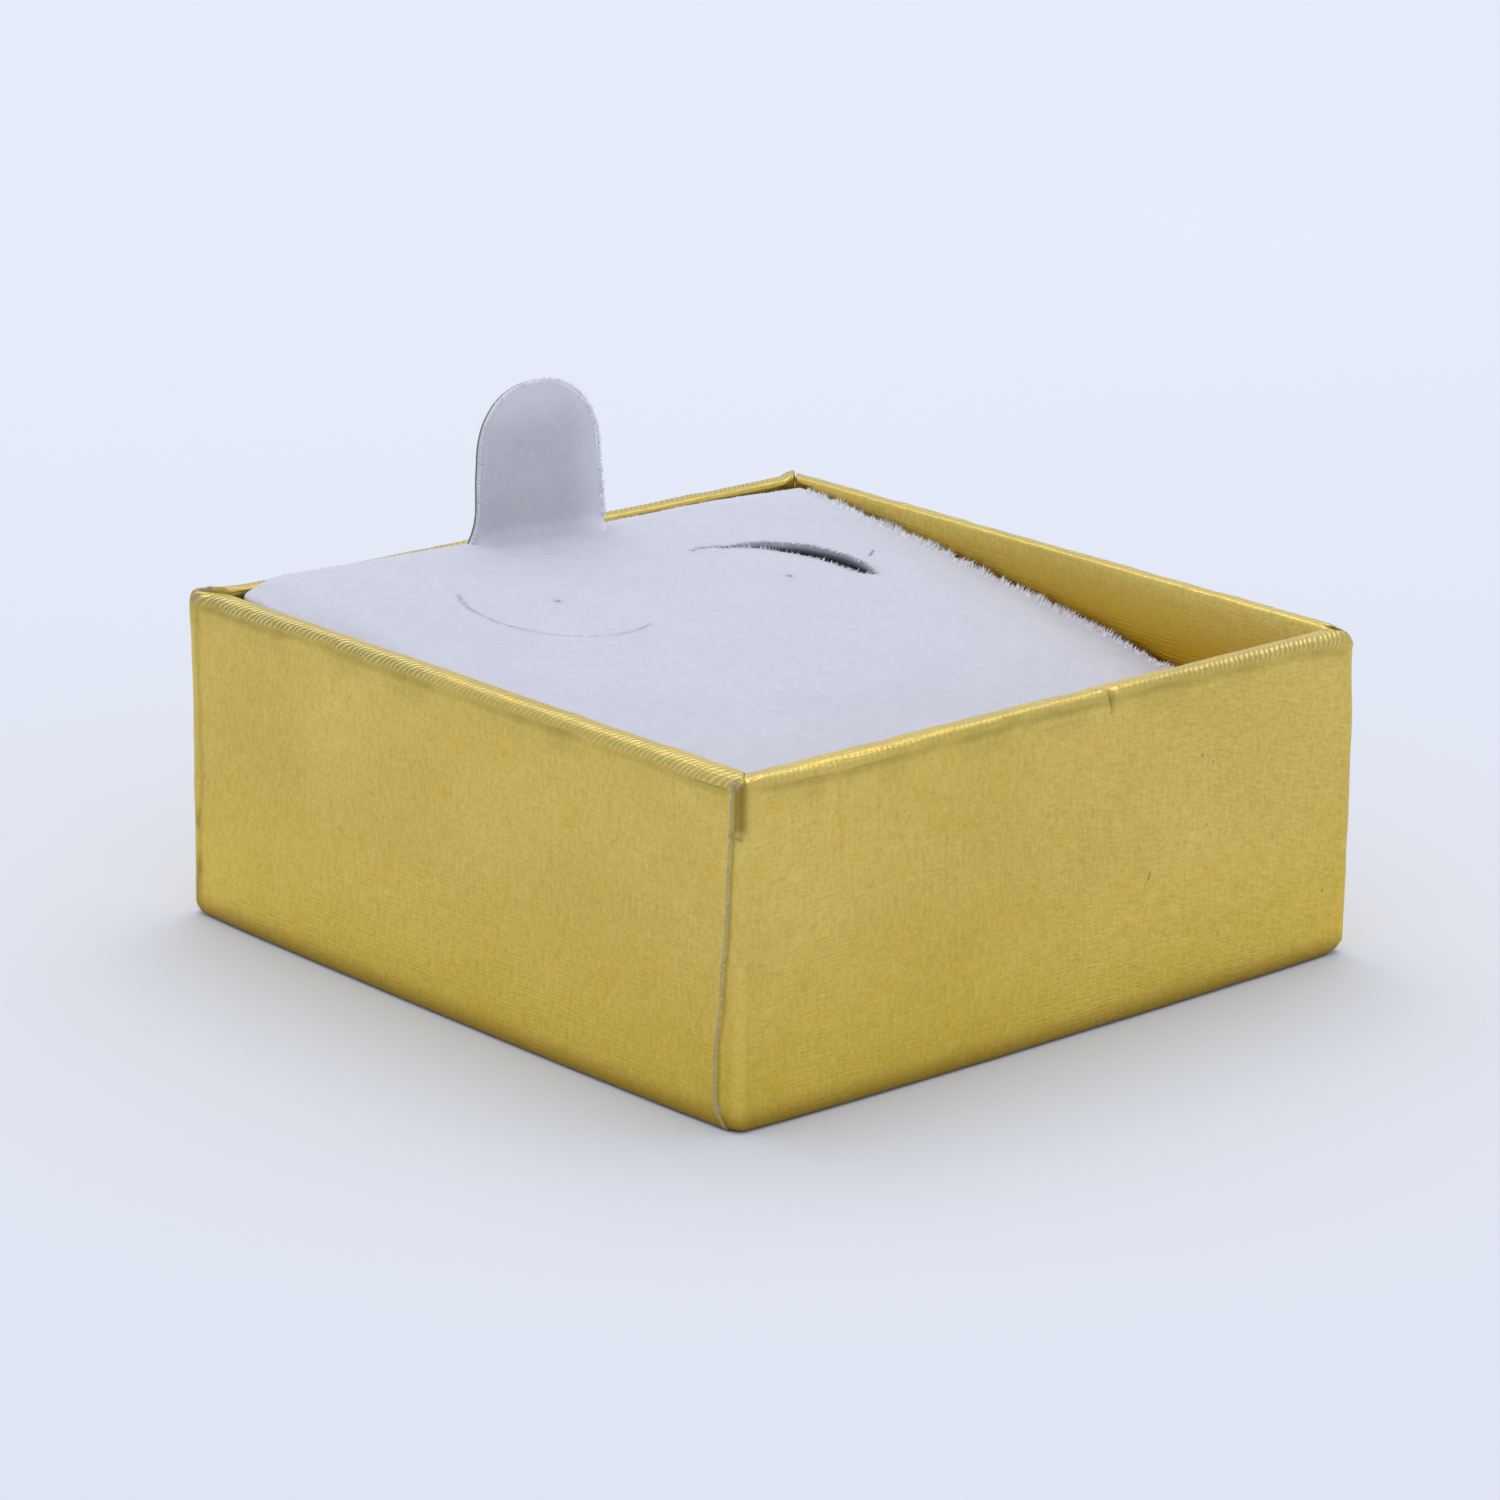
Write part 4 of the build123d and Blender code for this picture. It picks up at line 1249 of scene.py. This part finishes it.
TAB_LAYERS = (          # depth behind the tab's front face, and how far the edge stands in there
    (0.0, 0.26), (0.05, 0.13), (0.14, 0.04), (0.26, 0.0), (0.38, 0.02), (TAB_SHEET, 0.06))
layers = []
for layer, (depth, inset) in enumerate(TAB_LAYERS):
    rows = []
    for h in heights:
        left, right = tab_edges(h)
        trim = min(inset, (right - left) / 2 * 0.9)
        xs = left + trim + (right - left - 2 * trim) * (across + 1) / 2
        tip = inset * smooth(h, TAB_SHOULDER, TAB_TIP)
        left_over = max(0.0, FOOT_CURVE - max(h, 0.0))
        sweep = FOOT_CURVE - math.sqrt(FOOT_CURVE**2 - left_over**2) + 1.6 * max(-h, 0.0)
        sweep *= 1 if layer < 4 else 0.25
        sweep = sweep * smooth(xs - left, 0.0, 1.1) * (0.35 + 0.65 * smooth(right - xs, 0.0, 1.0))
        place = np.column_stack([xs, np.full(len(xs), 0.0), np.full(len(xs), h - tip)])
        y = TAB_FRONT_Y + depth - sweep + 0.035 * tab_wave(place) * smooth(h, 1.0, 6.0)
        y = np.minimum(y, TAB_FRONT_Y + TAB_SHEET + 0.02)
        rows.append(np.column_stack([xs, y, TAB_FOOT_Z + SIDE_SLOPE * xs + h - tip]))
    layers.append(np.array(rows))
rows_h, cols_x = len(heights), len(across)
tab_points = np.concatenate([layer.reshape(-1, 3) for layer in layers])
index = np.arange(rows_h * cols_x).reshape(rows_h, cols_x)
ring = np.concatenate([index[0, :-1], index[:-1, -1], index[-1, :0:-1], index[:0:-1, 0]])
faces = grid_faces(rows_h, cols_x).tolist()
kinds = [0] * len(faces)
for k in range(len(layers) - 1):
    a, b = ring + k * rows_h * cols_x, ring + (k + 1) * rows_h * cols_x
    for j in range(len(ring)):
        m = (j + 1) % len(ring)
        faces.append([int(a[j]), int(b[j]), int(b[m]), int(a[m])])
        kinds.append(0 if k < 3 else 1)
back = grid_faces(rows_h, cols_x)[:, ::-1] + (len(layers) - 1) * rows_h * cols_x
faces += back.tolist()
kinds += [1] * len(back)
tab = make_mesh("pull_tab_flocked", tab_points, faces, [velvet_material, core_material])
tab.data.polygons.foreach_set("material_index", kinds)
bm = bmesh.new()
bm.from_mesh(tab.data)
bmesh.ops.delete(bm, geom=[v for v in bm.verts if not v.link_faces], context="VERTS")
bm.to_mesh(tab.data)
bm.free()
tab_places = vertices(tab)
tab_h = tab_places[:, 2] - TAB_FOOT_Z
tab_side = np.abs(tab_places[:, 0] - 0.15) / 5.0
# painted shade over the tab's face, most low down and less at its sides and top; painted highlight on its
# top, its right edge and its upper left edge
mark(tab, "press", 0.11 + 0.06 * hump(tab_h, 1.9, 1.5) - 0.10 * smooth(tab_side, 0.8, 1.05)
     - 0.10 * smooth(tab_h, 5.5, 9.0))
mark(tab, "pale", 0.62 * smooth(tab_h, 6.4, 9.6) + 0.62 * smooth(tab_places[:, 0], 2.2, 4.8)
     + 0.15 * smooth(-tab_places[:, 0], 3.0, 4.4) * smooth(tab_h, 3.0, 6.0))
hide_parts("pull_tab")
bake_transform(tab)


# ---- loose pile along the edges ----
def pile(name, roots, ways, lengths, width, material):
    """Single fibres as fine closed spikes."""
    ways = ways / np.linalg.norm(ways, axis=1)[:, None]
    helper = rng.normal(size=ways.shape)
    side = np.cross(ways, helper)
    side /= np.linalg.norm(side, axis=1)[:, None]
    other = np.cross(ways, side)
    widths = (width * np.where(rng.uniform(size=len(roots)) < TUFT_SHARE, TUFT_WIDTH, 1.0)
              * rng.uniform(0.7, 1.3, len(roots)))[:, None]
    a = roots + side * widths / 2
    b = roots - side * widths / 4 + other * widths * 0.43
    c = roots - side * widths / 4 - other * widths * 0.43
    tip = roots + ways * lengths[:, None]
    points = np.stack([a, b, c, tip], axis=1).reshape(-1, 3)
    start = np.arange(len(roots))[:, None] * 4
    faces = np.concatenate([start + np.array(f) for f in ((0, 1, 3), (1, 2, 3), (2, 0, 3), (0, 2, 1))])
    return make_mesh(name, points, faces.tolist(), [material], smooth_shading=False)


FIBRE_WIDTH = 0.042
TUFT_SHARE, TUFT_WIDTH = 0.40, 3.6      # share of fibres that cling together, and their width


def edge_roots(u0, v0, u1, v1, count, out):
    """Roots along one edge of the card, and ways out of it, in card coordinates."""
    t = rng.uniform(0, 1, count)
    inset = rng.uniform(0.0, 0.75, count) ** 1.4
    u = u0 + (u1 - u0) * t - out[0] * inset
    v = v0 + (v1 - v0) * t - out[1] * inset
    height = pad_height(u, v) - 0.03 - EDGE_ROUND * np.exp(-inset / 0.25)
    lean = rng.uniform(0.05, 0.9, count)
    ways = np.column_stack([out[0] * lean, out[1] * lean, 1.15 - 0.75 * lean])
    ways += rng.normal(scale=0.28, size=(count, 3))
    return np.column_stack([u, v, height]), ways


tuft = waves(14, 0.6, 3.0)
roots, ways, lengths = [], [], []
reach_u, reach_v = half_width - 0.08, half_length - 0.06
corner_gap = 1.0
for ends, count, out, mean in (
    ((reach_u, -reach_v + corner_gap, reach_u, reach_v - corner_gap), 2500, (1, 0), 0.46),
    ((-reach_u, -reach_v + corner_gap, -reach_u, reach_v - corner_gap), 500, (-1, 0), 0.15),
    ((-reach_u + corner_gap, reach_v, reach_u - corner_gap, reach_v), 500, (0, 1), 0.12),
    ((-reach_u + corner_gap, -reach_v, reach_u - corner_gap, -reach_v), 400, (0, -1), 0.15),
):
    root, way = edge_roots(*ends, count, out)
    size = mean * (1 + 0.35 * tuft(root)) * rng.uniform(0.5, 1.2, count)
    roots.append(root)
    ways.append(way)
    lengths.append(np.clip(size, 0.08, 0.62))
cut_from = sum(len(r) for r in roots)
for cut, count, mean in ((cuts[0], 200, 0.12), (cuts[1], 520, 0.34)):
    (cu, cv), start, sweep, gap, _, _ = cut
    share = rng.uniform(0.0, 1.0, count)
    # a tuft bridges the cut near its right end
    share[: count // 9] = rng.normal(0.075, 0.012, count // 9)
    turn = np.radians(start + sweep * share)
    side = np.where(rng.uniform(size=count) < 0.5, -1.0, 1.0)
    radius = cut_radius(share, cut) + side * (gap / 2 * gape(share, cut) + 0.02)
    u, v = cu + radius * np.cos(turn), cv + radius * np.sin(turn)
    height = pad_height(u, v) - 0.03
    ways_out = np.column_stack([-side * np.cos(turn), -side * np.sin(turn), rng.uniform(0.0, 0.7, count)])
    ways_out += rng.normal(scale=0.35, size=(count, 3))
    roots.append(np.column_stack([u, v, height]))
    ways.append(ways_out)
    lengths.append(mean * rng.uniform(0.4, 1.2, count))
roots, ways, lengths = np.concatenate(roots), np.concatenate(ways), np.concatenate(lengths)
card_pile = pile("velvet_card_pile", to_frame(roots), ways @ card_axes, lengths, FIBRE_WIDTH,
                 flock_material)
# painted shade on the fibres in the cuts
mark(card_pile, "press", np.repeat(0.22 * (np.arange(len(roots)) >= cut_from), 4))
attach(card_pile, "insert")

TAB_PILE_COUNT = 1500
tab_roots, tab_ways = [], []
for n in range(TAB_PILE_COUNT):
    h = TAB_TIP * (1 - rng.uniform() ** 1.6) if n % 2 else rng.uniform(0.4, TAB_TIP)
    left, right = tab_edges(h)
    on_right = n % 3 > 0
    x = right - 0.04 if on_right else left + 0.06
    slope_low = tab_edges(max(h - 0.15, 0))[1 if on_right else 0]
    slope = (x - slope_low) / 0.15 if h > TAB_SHOULDER else 0.0
    out = np.array([1.0, 0.0, np.clip(-slope, 0, 9)]) if on_right else np.array(
        [-1.0, 0.0, np.clip(slope, 0, 9)])
    out /= np.linalg.norm(out)
    tab_roots.append([x, TAB_FRONT_Y + rng.uniform(-0.01, 0.10), TAB_FOOT_Z + SIDE_SLOPE * x + h - 0.03])
    tab_ways.append(out + rng.normal(scale=0.30, size=3) + np.array([0, -0.55, 0.1]))
tab_pile = pile("pull_tab_pile", np.array(tab_roots), np.array(tab_ways),
                rng.uniform(0.10, 0.34, TAB_PILE_COUNT), FIBRE_WIDTH * 0.9, flock_material)
# painted shade on the tab's fibres
mark(tab_pile, "press", np.full(4 * TAB_PILE_COUNT, 0.10))
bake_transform(tab_pile)

# ======== floor, light and camera ========
FLOOR_HALF = 4.0
FLOOR_DROP = 0.00005    # metres below the box, so that the two faces never share a plane
floor_mesh = bpy.data.meshes.new("studio_floor")
floor_mesh.from_pydata(
    [(-FLOOR_HALF, -FLOOR_HALF, 0), (FLOOR_HALF, -FLOOR_HALF, 0),
     (FLOOR_HALF, FLOOR_HALF, 0), (-FLOOR_HALF, FLOOR_HALF, 0)], [], [(0, 1, 2, 3)])
floor_mesh.materials.append(pale_floor())
floor = bpy.data.objects.new("studio_floor", floor_mesh)
floor.location.z = -FLOOR_DROP
bpy.context.scene.collection.objects.link(floor)

world = bpy.data.worlds.new("pale_studio")
world.use_nodes = True
world.node_tree.nodes["Background"].inputs["Color"].default_value = (0.800, 0.866, 1.02, 1)
world.node_tree.nodes["Background"].inputs["Strength"].default_value = 0.86
bpy.context.scene.world = world


def softbox(name, place, aim, size, watts, colour):
    """A square area light."""
    data = bpy.data.lights.new(name, "AREA")
    data.shape = "SQUARE"
    data.size = size
    data.energy = watts
    data.color = colour
    lamp = bpy.data.objects.new(name, data)
    lamp.location = place
    lamp.rotation_mode = "QUATERNION"
    lamp.rotation_quaternion = (Vector(aim) - Vector(place)).to_track_quat("-Z", "Y")
    bpy.context.scene.collection.objects.link(lamp)


softbox("overhead_box", (0.20, 0.26, 0.85), (0.05, 0.06, 0), 0.9, 3.1, (1.0, 0.985, 0.96))

# camera fitted to points along the tray's visible edges
CAMERA_TARGET = Vector((2.339, 4.345, 10.2)) * MM
CAMERA_AZIMUTH, CAMERA_ELEVATION, CAMERA_ROLL = (math.radians(a) for a in (-42.2, 16.88, 0.97))
CAMERA_DISTANCE = 338.9 * MM
CAMERA_LENS = 130.9
level_right = Vector((math.cos(CAMERA_AZIMUTH), math.sin(CAMERA_AZIMUTH), 0))
back_way = Vector((
    math.sin(CAMERA_AZIMUTH) * math.cos(CAMERA_ELEVATION),
    -math.cos(CAMERA_AZIMUTH) * math.cos(CAMERA_ELEVATION),
    math.sin(CAMERA_ELEVATION),
))
level_up = back_way.cross(level_right)
right_way = level_right * math.cos(CAMERA_ROLL) + level_up * math.sin(CAMERA_ROLL)
up_way = level_up * math.cos(CAMERA_ROLL) - level_right * math.sin(CAMERA_ROLL)
camera_data = bpy.data.cameras.new("camera")
camera_data.lens = CAMERA_LENS
camera_data.sensor_width = 36.0
camera_data.clip_start, camera_data.clip_end = 0.02, 20.0
camera = bpy.data.objects.new("camera", camera_data)
camera.rotation_mode = "QUATERNION"
camera.rotation_quaternion = Matrix((right_way, up_way, back_way)).transposed().to_quaternion()
camera.location = CAMERA_TARGET + back_way * CAMERA_DISTANCE
bpy.context.scene.collection.objects.link(camera)
bpy.context.scene.camera = camera
bpy.context.scene.view_settings.view_transform = "Standard"
